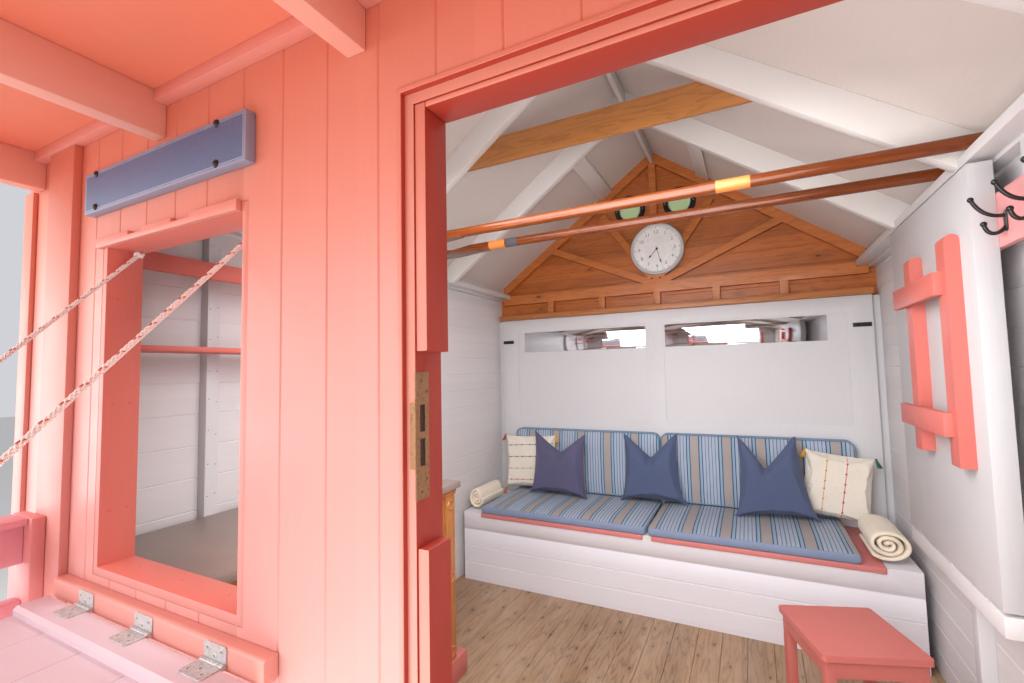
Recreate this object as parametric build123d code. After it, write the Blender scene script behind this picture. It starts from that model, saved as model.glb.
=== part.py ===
from build123d import *
import os
from math import cos, hypot, radians, tan

# A beach hut: a framed timber body under a gabled roof, with a covered deck in front.
# X runs to the right along the front wall, from the centreline of the hut.
# Y runs into the hut, from the outer face of the front wall.
# Z is up. Heights are given over the hut's floor, and every piece is lifted to the ground at the end.

# Body
hut_width = 2660
hut_depth = 3008
board_thickness = 22
stud_depth = 45
stud_width = 48
stud_spacing = 600
first_stud_y = 488
plate_height = 113
plate_ledge_width = 63
plate_ledge_height = 35
plate_ledge_drop = 65
eaves_height = 2145
roof_pitch = 35.7
wall_skirt = 60

# Base
bearer_width = 75
bearer_height = 175
bearer_count = 5
floor_thickness = 22
deck_drop = 30
deck_thickness = 22

# Main roof
roof_thickness = 24
roof_side_overhang = 70
roof_back_overhang = 60
ridge_board_width = 24
ridge_board_height = 85
rafter_width = 45
rafter_height = 115
rafter_spacing = 720
first_rafter_y = 620
purlin_width = 100
purlin_thickness = 20
purlin_x = 345
collar_rise = 313
collar_depth = 131
collar_thickness = 22
collar_clearance = 10
bargeboard_height = 120
bargeboard_thickness = 20

# Doorway and its frame
door_left_x = 116
door_width = 900
door_head_drop = 265
door_frame_edge = 26
door_frame_depth = 78
door_frame_proud = 4
door_sill_height = 20
door_stop_width = 21
door_stop_depth = 50
keep_height = 200
keep_bottom = 1242
keep_front_y = 5
keep_width = 34
keep_thickness = 2.5
keep_lip = 9
keep_lip_height = 102
keep_lip_slope = 10
keep_slot_height = 43
keep_slot_width = 13
keep_slot_gap = 11
keep_slot_front_y = 16
stop_gap_bottom = 1170
stop_gap_top = 1475
door_leaf_thickness = 40
door_leaf_gap = 6
door_ledge_height = 110
door_ledge_thickness = 20
door_ledge_inset = 40
door_ledge_margin = 150
door_hinge_margin = 200
door_hinge_radius = 6
door_hinge_length = 100
fitting_gap = 0.3

# Serving hatch
hatch_left_x = -852
hatch_width = 541
hatch_sill_z = 986
hatch_head_drop = 106
hatch_lining = 20
hatch_frame_depth = 80
hatch_head_trim_height = 24
hatch_head_trim_proud = 12
hatch_head_trim_overhang = 13
hatch_head_trim_short = 3
head_notches = ((-730, 62), (-547, 68))
head_notch_depth = 10
hinge_board_drop = 38
hinge_board_left_x = -990
hinge_board_width = 803
hinge_board_height = 46
hinge_board_thickness = 30
hinge_board_round = 7
flap_left_x = -981
flap_width = 783
flap_depth = 710
flap_thickness = 22
flap_drop = 72
flap_gap = 14
flap_rim_depth = 62
flap_rim_height = 20
flap_rim_chamfer = 8
flap_hinge_x = -571
flap_hinge_width = 68
flap_hinge_leaf = 38
flap_hinge_reach = 43
flap_hinge_thickness = 2.5
flap_hinge_radius = 5
flap_hinge_pitch = 248
rope_diameter = 10
rope_half_span = 253
rope_knot_radius = 12
rope_knot_height = 16
rope_top_y = 62
rope_reach_y = -705

# Front trim
corner_board_width = 58
corner_board_thickness = 12
front_batten_width = 145
front_batten_thickness = 20
front_batten_gap = 128
right_batten_width = 80
sign_left_x = -925
sign_width = 653
sign_height = 105
sign_rise = 89
sign_thickness = 22

# Porch
porch_depth = 1250
porch_joist_width = 42
porch_joist_height = 103
porch_head_gap = 91
porch_joist_pitch = 617
porch_beam_thickness = 45
porch_roof_thickness = 24
porch_roof_overhang = 30
soffit_batten_size = 28
porch_side_inner_x = 1225
post_size = 90
post_inner_x = 1091
half_post_width = 124
half_post_thickness = 30
rail_thickness = 45
cap_width = 95
cap_thickness = 18
cap_top_z = 1088
apron_height = 100
mid_rail_bottom = 822
mid_rail_height = 57
bottom_rail_bottom = 60
baluster_size = 28
baluster_spacing = 110

# Bench along the back wall
back_panel_thickness = 38
back_panel_drop = 287
panel_recess = 6
panel_fields = ((-1116, -81), (43, 1131))
panel_field_bottom = 600
panel_top_rail = 98
bench_height = 462
bench_depth = 630
bench_board = 25
lid_thickness = 28
lid_overhang = 8
lid_width = 1097
lid_gap = 52
seat_pad_thickness = 60
seat_pad_overhang = 20
seat_pad_short = 90
back_pad_thickness = 75
back_pad_height = 462
pad_gap = 3
pad_edge_round = 10
back_pad_round = 45
navy_cushions = (-705, -45, 685)
cream_cushions = (-965, 985)
cushion_size = 460
cushion_thickness = 117
cushion_round = 34
cream_cushion_size = 440
cream_cushion_thickness = 77
cream_cushion_round = 24
left_roll = (68, 88)
right_roll = (112, 94)
roll_length = 360
roll_inset = 20

# Fittings on the back wall
mirror_height = 160
mirror_drop = 268
mirror_thickness = 3
left_mirror_x = -1060
right_mirror_x = 52
mirror_width = 975
bolt_length = 95
bolt_height = 26
bolt_drop = 193
bolt_thickness = 12
bolt_inset = 10
shelf_thickness = 26
shelf_front = 50
shelf_lip_height = 12
shelf_lip_thickness = 14
chord_height = 75
chord_uprights = (-838, -414, 0, 402, 811)
chord_upright_width = 50
gable_timber_depth = 45
gable_timber_width = 60
strut_width = 50
king_post_width = 50
struts = ((-20, -80, -860, 287), (-30, -38, -390, 486))
porthole_x = 180
porthole_rise = 505
porthole_outer_radius = 115
porthole_inner_radius = 88
porthole_proud = 14
clock_radius = 190
clock_thickness = 32
clock_rise = 165
clock_x = 18

# Fold-down table on the right wall
table_front_y = 1235
table_length = 840
table_head_gap = 120
table_thickness = 58
table_axis_x = 1185
table_axis_z = 735
table_play = 4
table_hinge_radius = 6
table_hinge_length = 80
table_hinge_count = 3
table_leg_length = 725
table_leg_width = 70
table_leg_thickness = 40
table_leg_pitch = 355
table_leg_front_y = 1325
table_leg_pivot_drop = 205
table_leg_rail_height = 75
table_leg_rail_thickness = 22
table_leg_rail_drops = (110, 560)
table_leg_rail_lap = 35
table_leg_rail_tail = 75
table_leg_gap = 0.3
table_cleat_height = 60

# Coat hooks
hook_rail_front_y = 660
hook_rail_length = 660
hook_rail_height = 160
hook_rail_drop = 380
hook_rail_thickness = 20
hook_count = 4
hook_pitch = 150
last_hook_y = 1185
hook_plate_width = 18
hook_plate_height = 60
hook_plate_thickness = 4
hook_wire_radius = 4
hook_ball_radius = 7
hook_arms = ((14, 38, 28, 76, 62), (-18, 30, -30, 52, -2))

# Oars
oar_rows = (1272, 1540)
oar_radius = 22
oar_blade_length = 540
oar_blade_width = 130
oar_blade_thickness = 14
oar_neck_length = 120
oar_tip_width = 70

# Kitchen unit and shelves
kitchen_front_y = 75
kitchen_length = 1252
kitchen_width = 546
kitchen_height = 890
kitchen_plinth_height = 105
kitchen_plinth_proud = 21
kitchen_plinth_run_on = 78
kitchen_pilaster_width = 70
kitchen_pilaster_proud = 12
kitchen_door_margin = 12
kitchen_door_proud = 8
kitchen_door_count = 2
kitchen_cap_height = 30
worktop_thickness = 30
worktop_front_overhang = 37
worktop_end_overhang = 17
kitchen_shelf_depth = 150
kitchen_shelf_thickness = 18
kitchen_shelf_drops = (616, 313)
kitchen_shelf_fascia = 60

# Side table
side_table_x = 868
side_table_y = 1595
side_table_turn = 20
side_table_size = 352
side_table_height = 450
side_table_top = 22
side_table_leg = 36
side_table_inset = 12
side_table_apron = 60
side_table_round = 14

# Worked out
half_width = hut_width / 2
inner_x = half_width - board_thickness
room_x = inner_x - stud_depth
inner_back_y = hut_depth - board_thickness
slope = tan(radians(roof_pitch))
ridge_z = eaves_height + slope * room_x
floor_level = bearer_height + floor_thickness
front_frame_y = board_thickness
front_room_y = board_thickness + stud_depth
door_right_x = door_left_x + door_width
frame_left_x = door_left_x - door_frame_edge
frame_right_x = door_right_x + door_frame_edge
door_height = eaves_height - door_head_drop
frame_top_z = door_height + door_frame_edge
hatch_right_x = hatch_left_x + hatch_width
hatch_top_z = door_height - hatch_head_drop
hatch_mid_x = (hatch_left_x + hatch_right_x) / 2
panel_face_y = inner_back_y - stud_depth - back_panel_thickness
bench_front_y = panel_face_y - bench_depth
porch_joist_bottom = frame_top_z + porch_head_gap
porch_soffit_z = porch_joist_bottom + porch_joist_height
beam_front_y = -porch_depth - porch_beam_thickness
deck_top_z = -deck_drop
plate_ledge_z = eaves_height - plate_ledge_drop
plate_ledge_x = plate_ledge_width - room_x
gable_foot_z = eaves_height - gable_timber_width / cos(radians(roof_pitch))
back_panel_top = eaves_height - back_panel_drop
porthole_z = eaves_height + porthole_rise
clock_z = eaves_height + clock_rise
seat_top_z = bench_height + seat_pad_thickness
lid_end_x = lid_gap / 2 + lid_width
table_end_z = eaves_height - table_head_gap


def ceiling_z(x):
    """Height of the underside of the roof boards at a distance x from the centreline."""
    return eaves_height + slope * (room_x - abs(x))


def block(x, y, z):
    """A rectangular piece between two values on each axis."""
    size = Box(x[1] - x[0], y[1] - y[0], z[1] - z[0])
    return Pos((x[0] + x[1]) / 2, (y[0] + y[1]) / 2, (z[0] + z[1]) / 2) * size


def upright_panel(points, y0, y1):
    """A board of any outline in the XZ plane, between two values of Y."""
    outline = make_face(Polyline(*[(x, 0, z) for x, z in points], close=True))
    return Pos(0, y0, 0) * extrude(outline, amount=y1 - y0, dir=(0, 1, 0))


def side_panel(points, x0, x1):
    """A board of any outline in the YZ plane, between two values of X."""
    outline = make_face(Polyline(*[(0, y, z) for y, z in points], close=True))
    return Pos(x0, 0, 0) * extrude(outline, amount=x1 - x0, dir=(1, 0, 0))


def strip(x0, z0, x1, z1, width):
    """The outline of a straight board of some width between two points in the XZ plane."""
    length = hypot(x1 - x0, z1 - z0)
    dx = (z0 - z1) / length * width / 2
    dz = (x1 - x0) / length * width / 2
    return [(x0 + dx, z0 + dz), (x1 + dx, z1 + dz), (x1 - dx, z1 - dz), (x0 - dx, z0 - dz)]


def mirrored(piece):
    """The same piece on the other side of the centreline."""
    return mirror(piece, about=Plane.YZ)


def rod(start, end, radius):
    """A round bar between two points."""
    a, b = Vector(*start), Vector(*end)
    axis = Plane(origin=a, z_dir=b - a)
    return axis * Cylinder(radius, (b - a).length, align=(Align.CENTER, Align.CENTER, Align.MIN))


def save(name, *solids):
    """Write one sub-part, lifted so that the bearers stand on the ground."""
    placed = [Pos(0, 0, floor_level) * solid for group in solids for solid in group.solids()]
    shape = placed[0] if len(placed) == 1 else Compound(placed)
    export_step(shape, f"parts/{name}.step")


def base():
    top = -floor_thickness
    bottom = -floor_level
    deck_under = deck_top_z - deck_thickness
    profile = [(beam_front_y, bottom), (inner_back_y, bottom), (inner_back_y, top),
               (front_frame_y, top), (front_frame_y, deck_under), (beam_front_y, deck_under)]
    reach = half_width - bearer_width
    step = 2 * reach / (bearer_count - 1)
    bearers = []
    for i in range(bearer_count):
        x = -reach + i * step - bearer_width / 2
        bearers.append(side_panel(profile, x, x + bearer_width))
    save("floor_bearers", *bearers)
    save("floor_boards", block((-inner_x, inner_x), (front_frame_y, inner_back_y), (top, 0)))
    save("deck_boards", block((-half_width, half_width), (beam_front_y, 0), (deck_under, deck_top_z)))


def body_walls():
    top = ceiling_z(inner_x)
    outer_top = ceiling_z(half_width)
    left = upright_panel([(-half_width, -wall_skirt), (-inner_x, -wall_skirt), (-inner_x, top),
                          (-half_width, outer_top)], board_thickness, inner_back_y)
    save("left_wall", left)
    save("right_wall", mirrored(left))
    gable = [(-half_width, -wall_skirt), (half_width, -wall_skirt), (half_width, outer_top),
             (0, ceiling_z(0)), (-half_width, outer_top)]
    back = upright_panel(gable, inner_back_y, hut_depth)
    for x in (-porthole_x, porthole_x):
        back -= rod((x, inner_back_y - 1, porthole_z), (x, hut_depth + 1, porthole_z), porthole_inner_radius)
    save("back_wall", back)

    depth = (0, board_thickness)
    floor = deck_top_z - deck_thickness
    left = block((-half_width, hatch_left_x - hatch_lining), depth, (floor, frame_top_z))
    middle = block((hatch_right_x + hatch_lining, frame_left_x), depth, (floor, frame_top_z))
    right = block((frame_right_x, half_width), depth, (floor, frame_top_z))
    save("front_wall", left, middle, right)
    across = (hatch_left_x - hatch_lining, hatch_right_x + hatch_lining)
    below = block(across, depth, (floor, hatch_sill_z - hatch_lining))
    above = block(across, depth, (hatch_top_z + hatch_lining, frame_top_z))
    save("hatch_wall", below, above)
    save("front_gable", upright_panel([(-half_width, frame_top_z), (half_width, frame_top_z),
                                       (half_width, outer_top), (0, ceiling_z(0)),
                                       (-half_width, outer_top)], *depth))


def wall_framing():
    plate_bottom = eaves_height - plate_height
    sides = []
    y = first_stud_y
    while y < bench_front_y:
        stud = block((-inner_x, -room_x), (y, y + stud_width), (0, plate_bottom))
        sides += [stud, mirrored(stud)]
        y += stud_spacing
    head = frame_top_z + stud_width
    front = []
    for x in (-inner_x, hatch_left_x - hatch_lining - stud_width, hatch_right_x + hatch_lining,
              frame_left_x - stud_width, frame_right_x, inner_x - stud_width):
        front.append(block((x, x + stud_width), (front_frame_y, front_room_y), (0, frame_top_z)))
    back = []
    for x in (-inner_x, -half_width / 2, 0, half_width / 2, inner_x):
        start = max(-inner_x, min(x - stud_width / 2, inner_x - stud_width))
        back.append(block((start, start + stud_width), (inner_back_y - stud_depth, inner_back_y),
                          (0, back_panel_top)))
    save("wall_studs", *sides, *front, *back)

    ledge_bottom = plate_ledge_z - plate_ledge_height
    plate = upright_panel([(-inner_x, plate_bottom), (-room_x, plate_bottom), (-room_x, ledge_bottom),
                           (plate_ledge_x, ledge_bottom), (plate_ledge_x, plate_ledge_z),
                           (-room_x, plate_ledge_z), (-room_x, eaves_height),
                           (-inner_x, ceiling_z(inner_x))],
                          front_room_y, inner_back_y - stud_depth)
    front_plate = block((-inner_x, inner_x), (front_frame_y, front_room_y), (frame_top_z, head))
    save("wall_plates", plate, mirrored(plate), front_plate)


def main_roof():
    rise = roof_thickness / cos(radians(roof_pitch))
    edge_x = half_width + roof_side_overhang
    y0 = 0
    y1 = hut_depth + roof_back_overhang
    left = upright_panel([(-edge_x, ceiling_z(edge_x)), (0, ceiling_z(0)), (0, ceiling_z(0) + rise),
                          (-edge_x, ceiling_z(edge_x) + rise)], y0, y1)
    save("roof_left", left)
    save("roof_right", mirrored(left))

    ridge_half = ridge_board_width / 2
    apex = ceiling_z(0)
    ridge_bottom = apex - ridge_board_height
    ridge = upright_panel([(-ridge_half, ridge_bottom), (ridge_half, ridge_bottom),
                           (ridge_half, ceiling_z(ridge_half)), (0, apex),
                           (-ridge_half, ceiling_z(ridge_half))], board_thickness, inner_back_y)
    save("ridge_board", ridge)

    drop = rafter_height / cos(radians(roof_pitch))
    rafters = []
    y = first_rafter_y
    while y + rafter_spacing / 2 < inner_back_y:
        rafter = upright_panel([(-room_x, eaves_height - drop), (-ridge_half, ceiling_z(ridge_half) - drop),
                                (-ridge_half, ceiling_z(ridge_half)), (-room_x, eaves_height)],
                               y, y + rafter_width)
        rafter -= block((-room_x - 1, plate_ledge_x), (y - 1, y + rafter_width + 1), (0, plate_ledge_z))
        rafters += [rafter, mirrored(rafter)]
        y += rafter_spacing
    save("rafters", *rafters)

    purlin_y = (y - rafter_spacing + rafter_width, inner_back_y - gable_timber_depth)
    reach = purlin_width / 2 * cos(radians(roof_pitch))
    fall = purlin_thickness / cos(radians(roof_pitch))
    inside, outside = purlin_x - reach, purlin_x + reach
    purlin = upright_panel([(inside, ceiling_z(inside)), (outside, ceiling_z(outside)),
                            (outside, ceiling_z(outside) - fall), (inside, ceiling_z(inside) - fall)],
                           *purlin_y)
    save("purlins", mirrored(purlin), purlin)

    tie_y = first_rafter_y + rafter_spacing + rafter_width
    low = room_x - (collar_rise + collar_clearance) / slope
    high = room_x - (collar_rise + collar_depth + collar_clearance) / slope
    bottom = eaves_height + collar_rise
    top = bottom + collar_depth
    tie = upright_panel([(-low, bottom), (low, bottom), (high, top), (-high, top)],
                        tie_y, tie_y + collar_thickness)
    save("collar_tie", tie)

    drop = bargeboard_height / cos(radians(roof_pitch))
    apex_x = fitting_gap
    outline = [(-edge_x, ceiling_z(edge_x) + rise - drop), (-apex_x, ceiling_z(apex_x) + rise - drop),
               (-apex_x, ceiling_z(apex_x) + rise), (-edge_x, ceiling_z(edge_x) + rise)]
    boards = []
    for y in (y0 - bargeboard_thickness, y1):
        board = upright_panel(outline, y, y + bargeboard_thickness)
        if y < 0:
            porch_top = porch_soffit_z + porch_roof_thickness + fitting_gap
            board -= block((-edge_x, 0), (y, 0), (0, porch_top))
        boards += [board, mirrored(board)]
    save("bargeboards", *boards)


def porch():
    soffit = porch_soffit_z
    joists = []
    height = (porch_joist_bottom, soffit)
    half_joist = porch_joist_width / 2
    for i in (-1, 0, 1):
        x = i * porch_joist_pitch
        joists.append(block((x - half_joist, x + half_joist), (-porch_depth, 0), height))
    side = block((-porch_side_inner_x - porch_joist_width, -porch_side_inner_x), (-porch_depth, 0), height)
    save("porch_joists", *joists, side, mirrored(side))
    beam_x = porch_side_inner_x + porch_joist_width
    save("porch_front_beam", block((-beam_x, beam_x), (beam_front_y, -porch_depth), height))
    save("porch_roof", block((-half_width, half_width), (beam_front_y - porch_roof_overhang, 0),
                             (soffit, soffit + porch_roof_thickness)))
    battens = []
    for bay in ((half_joist, porch_joist_pitch - half_joist),
                (porch_joist_pitch + half_joist, porch_side_inner_x)):
        battens.append(block(bay, (-soffit_batten_size, 0), (soffit - soffit_batten_size, soffit)))
    save("soffit_battens", *battens, *[mirrored(batten) for batten in battens])

    post_y = (beam_front_y, beam_front_y + post_size)
    post_z = (deck_top_z, porch_joist_bottom)
    entry_x = frame_left_x - post_size
    corner = block((-post_inner_x - post_size, -post_inner_x), post_y, post_z)
    entry = block((entry_x, entry_x + post_size), post_y, post_z)
    half_centre = post_inner_x + post_size / 2
    half_post_y = (-front_batten_thickness - half_post_thickness, -front_batten_thickness)
    half = block((-half_centre - half_post_width / 2, -half_centre + half_post_width / 2), half_post_y,
                 (deck_top_z, cap_top_z))
    save("porch_posts", corner, mirrored(corner), entry, half, mirrored(half))

    run = (beam_front_y + post_size, half_post_y[0])
    side_rail = balustrade(run[1] - run[0])
    left = Pos(-half_centre, run[0], 0) * Rot(0, 0, 90) * side_rail
    front_run = (-post_inner_x, entry_x)
    front = Pos(front_run[0], beam_front_y + post_size / 2, 0) * balustrade(front_run[1] - front_run[0])
    save("balustrades", left, mirrored(left), front)


def balustrade(length):
    """One bay of railing along +X from the origin: cap, apron, rails and balusters."""
    half = rail_thickness / 2
    cap_bottom = cap_top_z - cap_thickness
    cap = block((0, length), (-cap_width / 2, cap_width / 2), (cap_bottom, cap_top_z))
    apron = block((0, length), (-half, half), (cap_bottom - apron_height, cap_bottom))
    middle = block((0, length), (-half, half), (mid_rail_bottom, mid_rail_bottom + mid_rail_height))
    low = block((0, length), (-half, half), (bottom_rail_bottom, bottom_rail_bottom + mid_rail_height))
    bay = cap + apron + middle + low
    count = max(1, round(length / baluster_spacing) - 1)
    for i in range(count):
        x = length * (i + 1) / (count + 1)
        across = (x - baluster_size / 2, x + baluster_size / 2)
        bay += block(across, (-baluster_size / 2, baluster_size / 2), (bottom_rail_bottom, cap_bottom))
    return bay


def front_trim():
    corner = block((-half_width, -half_width + corner_board_width), (-corner_board_thickness, 0),
                   (-wall_skirt / 2, porch_joist_bottom))
    batten_y = (-front_batten_thickness, 0)
    batten_z = (deck_top_z, porch_soffit_z - soffit_batten_size)
    left_end = hatch_left_x - hatch_lining - front_batten_gap
    left = block((left_end - front_batten_width, left_end), batten_y, batten_z)
    right_end = front_batten_width - left_end
    right = block((right_end - right_batten_width, right_end), batten_y, batten_z)
    save("corner_boards", corner, mirrored(corner), left, right)
    sign_bottom = hatch_top_z + sign_rise
    save("sign_board", block((sign_left_x, sign_left_x + sign_width), (-sign_thickness, 0),
                             (sign_bottom, sign_bottom + sign_height)))


def doorway():
    y = (-door_frame_proud, door_frame_depth)
    outer = block((frame_left_x, frame_right_x), y, (0, frame_top_z))
    opening = block((door_left_x, door_right_x), (y[0] - 1, y[1] + 1), (door_sill_height, door_height))
    riser = block((frame_left_x, frame_right_x), (0, board_thickness), (deck_top_z - deck_thickness, 0))
    save("door_frame", outer - opening + riser)

    stop_y = (0, door_stop_depth)
    left = (door_left_x, door_left_x + door_stop_width)
    right = (door_right_x - door_stop_width, door_right_x)
    foot = door_sill_height
    lower = block(left, stop_y, (foot, stop_gap_bottom))
    upper = block(left, stop_y, (stop_gap_top, door_height))
    other = block(right, stop_y, (foot, door_height))
    head = block((left[1] + fitting_gap, right[0] - fitting_gap), stop_y,
                 (door_height - door_stop_width, door_height))
    save("door_stops", lower, upper, other, head)
    lock_keep()

    leaf_x = (door_right_x - door_leaf_thickness, door_right_x)
    hinge_y = -door_frame_proud - door_hinge_radius - fitting_gap
    leaf_y = (hinge_y - door_width + 2 * door_leaf_gap, hinge_y)
    leaf_z = (door_leaf_gap + door_sill_height, door_height - door_leaf_gap)
    leaf = block(leaf_x, leaf_y, leaf_z)
    ledge_x = (leaf_x[0] - door_ledge_thickness, leaf_x[0])
    ledge_y = (leaf_y[0] + door_ledge_inset, leaf_y[1] - door_ledge_inset)
    for z in (leaf_z[0] + door_ledge_margin, (leaf_z[0] + leaf_z[1] - door_ledge_height) / 2,
              leaf_z[1] - door_ledge_margin - door_ledge_height):
        leaf += block(ledge_x, ledge_y, (z, z + door_ledge_height))
    for z in (leaf_z[0] + door_hinge_margin, leaf_z[1] - door_hinge_margin - door_hinge_length):
        centre = (door_right_x + door_hinge_radius - 1, hinge_y)
        leaf += rod((*centre, z), (*centre, z + door_hinge_length), door_hinge_radius)
    save("door_leaf", leaf)


def lock_keep():
    """A plate let onto the jamb, with two slots and a lip bent round the front edge."""
    x = (door_left_x, door_left_x + keep_thickness)
    front = -door_frame_proud - keep_thickness
    back = keep_front_y + keep_width
    top = keep_bottom + keep_height
    lip_bottom = keep_bottom + (keep_height - keep_lip_height) / 2
    lip_top = lip_bottom + keep_lip_height
    plate = side_panel([(keep_front_y, keep_bottom), (back, keep_bottom), (back, top), (keep_front_y, top),
                        (keep_front_y, lip_top + keep_lip_slope), (front, lip_top), (front, lip_bottom),
                        (keep_front_y, lip_bottom - keep_lip_slope)], *x)
    middle = (lip_bottom + lip_top) / 2
    slot_y = (keep_slot_front_y, keep_slot_front_y + keep_slot_width)
    for z in (middle + keep_slot_gap / 2, middle - keep_slot_gap / 2 - keep_slot_height):
        plate -= block((x[0] - 1, x[1] + 1), slot_y, (z, z + keep_slot_height))
    plate += block((door_left_x - keep_lip, x[1]), (front, -door_frame_proud), (lip_bottom, lip_top))
    save("lock_keep", plate)


def hatch():
    y = (0, hatch_frame_depth)
    lining = hatch_lining
    outer = block((hatch_left_x - lining, hatch_right_x + lining), y,
                  (hatch_sill_z - lining, hatch_top_z + lining))
    hole = block((hatch_left_x, hatch_right_x), (-1, hatch_frame_depth + 1), (hatch_sill_z, hatch_top_z))
    save("hatch_frame", outer - hole)
    trim_top = hatch_top_z + hatch_head_trim_height
    trim_x = (hatch_left_x - lining - hatch_head_trim_overhang, hatch_right_x - hatch_head_trim_short)
    trim = block(trim_x, (-hatch_head_trim_proud, 0), (hatch_top_z, trim_top))
    for x, width in head_notches:
        trim -= block((x, x + width), (-hatch_head_trim_proud - 1, 1),
                      (trim_top - head_notch_depth, trim_top + 1))
    save("hatch_head_trim", trim)

    board_top = hatch_sill_z - hinge_board_drop
    board_bottom = board_top - hinge_board_height
    face_y = -hinge_board_thickness
    board = block((hinge_board_left_x, hinge_board_left_x + hinge_board_width), (face_y, 0),
                  (board_bottom, board_top))
    front_top = board.edges().filter_by(Axis.X).group_by(Axis.Y)[0].group_by(Axis.Z)[-1]
    save("hinge_board", fillet(front_top, hinge_board_round))
    flap(face_y)
    ropes()


def flap(hinge_face_y):
    """The flap lies open, level, with a raised rim along its hinged edge and three hinges."""
    flap_x = (flap_left_x, flap_left_x + flap_width)
    back = hinge_face_y - flap_gap
    front = back - flap_depth
    rim_front = back - flap_rim_depth
    rim_top = hatch_sill_z - flap_drop
    top = rim_top - flap_rim_height
    bottom = top - flap_thickness
    save("hatch_flap", side_panel([(front, bottom), (back, bottom), (back, rim_top),
                                   (rim_front + flap_rim_chamfer, rim_top),
                                   (rim_front, rim_top - flap_rim_chamfer), (rim_front, top), (front, top)],
                                  *flap_x))
    hinges = []
    barrel_y = hinge_face_y - flap_hinge_thickness - flap_hinge_radius + 1
    for i in (-1, 0, 1):
        x = flap_hinge_x + i * flap_hinge_pitch
        across = (x - flap_hinge_width / 2, x + flap_hinge_width / 2)
        hinge = rod((across[0], barrel_y, rim_top), (across[1], barrel_y, rim_top), flap_hinge_radius)
        hinge += block(across, (hinge_face_y - flap_hinge_thickness, hinge_face_y),
                       (rim_top - flap_hinge_radius, rim_top - flap_hinge_radius + flap_hinge_leaf))
        hinge += block(across, (barrel_y - flap_hinge_reach, barrel_y),
                       (rim_top, rim_top + flap_hinge_thickness))
        hinges.append(hinge)
    save("flap_hinges", *hinges)


def ropes():
    """A rope on each side, taut from a knot under the hatch's head to a knot on the flap."""
    flap_z = hatch_sill_z - flap_drop - flap_rim_height
    pair = []
    for side in (-1, 1):
        x = hatch_mid_x + side * rope_half_span
        head = hatch_top_z - rope_knot_height
        foot = flap_z + rope_knot_height
        rope = rod((x, rope_top_y, (head + hatch_top_z) / 2), (x, rope_reach_y, (flap_z + foot) / 2),
                   rope_diameter / 2)
        rope += rod((x, rope_top_y, head), (x, rope_top_y, hatch_top_z), rope_knot_radius)
        rope += rod((x, rope_reach_y, flap_z), (x, rope_reach_y, foot), rope_knot_radius)
        pair.append(rope)
    save("hatch_ropes", *pair)


def bench():
    y = (bench_front_y, panel_face_y)
    top = bench_height - lid_thickness
    outer = block((-room_x, room_x), y, (0, top))
    pocket = block((-room_x + bench_board, room_x - bench_board), (y[0] + bench_board, y[1] - bench_board),
                   (-1, top + 1))
    box = outer - pocket
    end = block((lid_end_x + pad_gap, room_x), y, (top, bench_height))
    save("bench_box", box + end + mirrored(end))
    lid = block((lid_gap / 2, lid_end_x), (y[0] - lid_overhang, y[1]), (top, bench_height))
    save("bench_lids", mirrored(lid), lid)

    back_y = (panel_face_y - back_pad_thickness, panel_face_y - pad_gap)
    seat_y = (y[0] - seat_pad_overhang, back_y[1])
    seats = []
    for x in ((-lid_end_x, -pad_gap), (pad_gap, lid_end_x - seat_pad_short)):
        pad = block(x, seat_y, (bench_height, seat_top_z))
        seats.append(fillet(pad.edges().group_by(Axis.Z)[-1], pad_edge_round))
    save("seat_pads", *seats)
    pad = block((pad_gap, lid_end_x), back_y, (seat_top_z, seat_top_z + back_pad_height))
    pad = fillet(pad.edges().filter_by(Axis.Y).group_by(Axis.Z)[-1], back_pad_round)
    save("back_pads", mirrored(pad), pad)
    cushions(back_y[0])
    rolls = []
    for side, (half_across, half_up) in ((-1, left_roll), (1, right_roll)):
        centre = (side * (room_x - pad_gap - half_across), y[0] + roll_inset, bench_height + half_up)
        section = Plane(origin=centre, x_dir=(1, 0, 0), z_dir=(0, 1, 0))
        rolls.append(extrude(section * Ellipse(half_across, half_up), amount=roll_length))
    save("blanket_rolls", *rolls)


def cushions(back_y):
    """Two cream cushions against the back pads, and three navy ones in front of them or between them."""
    pieces = []
    cream_y = (back_y - cream_cushion_thickness, back_y)
    for x in navy_cushions:
        behind = cream_y[0] if min(abs(x - other) for other in cream_cushions) < cushion_size else back_y
        cushion = block((x - cushion_size / 2, x + cushion_size / 2), (behind - cushion_thickness, behind),
                        (seat_top_z, seat_top_z + cushion_size))
        pieces.append(fillet(cushion.edges(), cushion_round))
    for x in cream_cushions:
        cushion = block((x - cream_cushion_size / 2, x + cream_cushion_size / 2), cream_y,
                        (seat_top_z, seat_top_z + cream_cushion_size))
        pieces.append(fillet(cushion.edges(), cream_cushion_round))
    save("scatter_cushions", *pieces)


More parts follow.
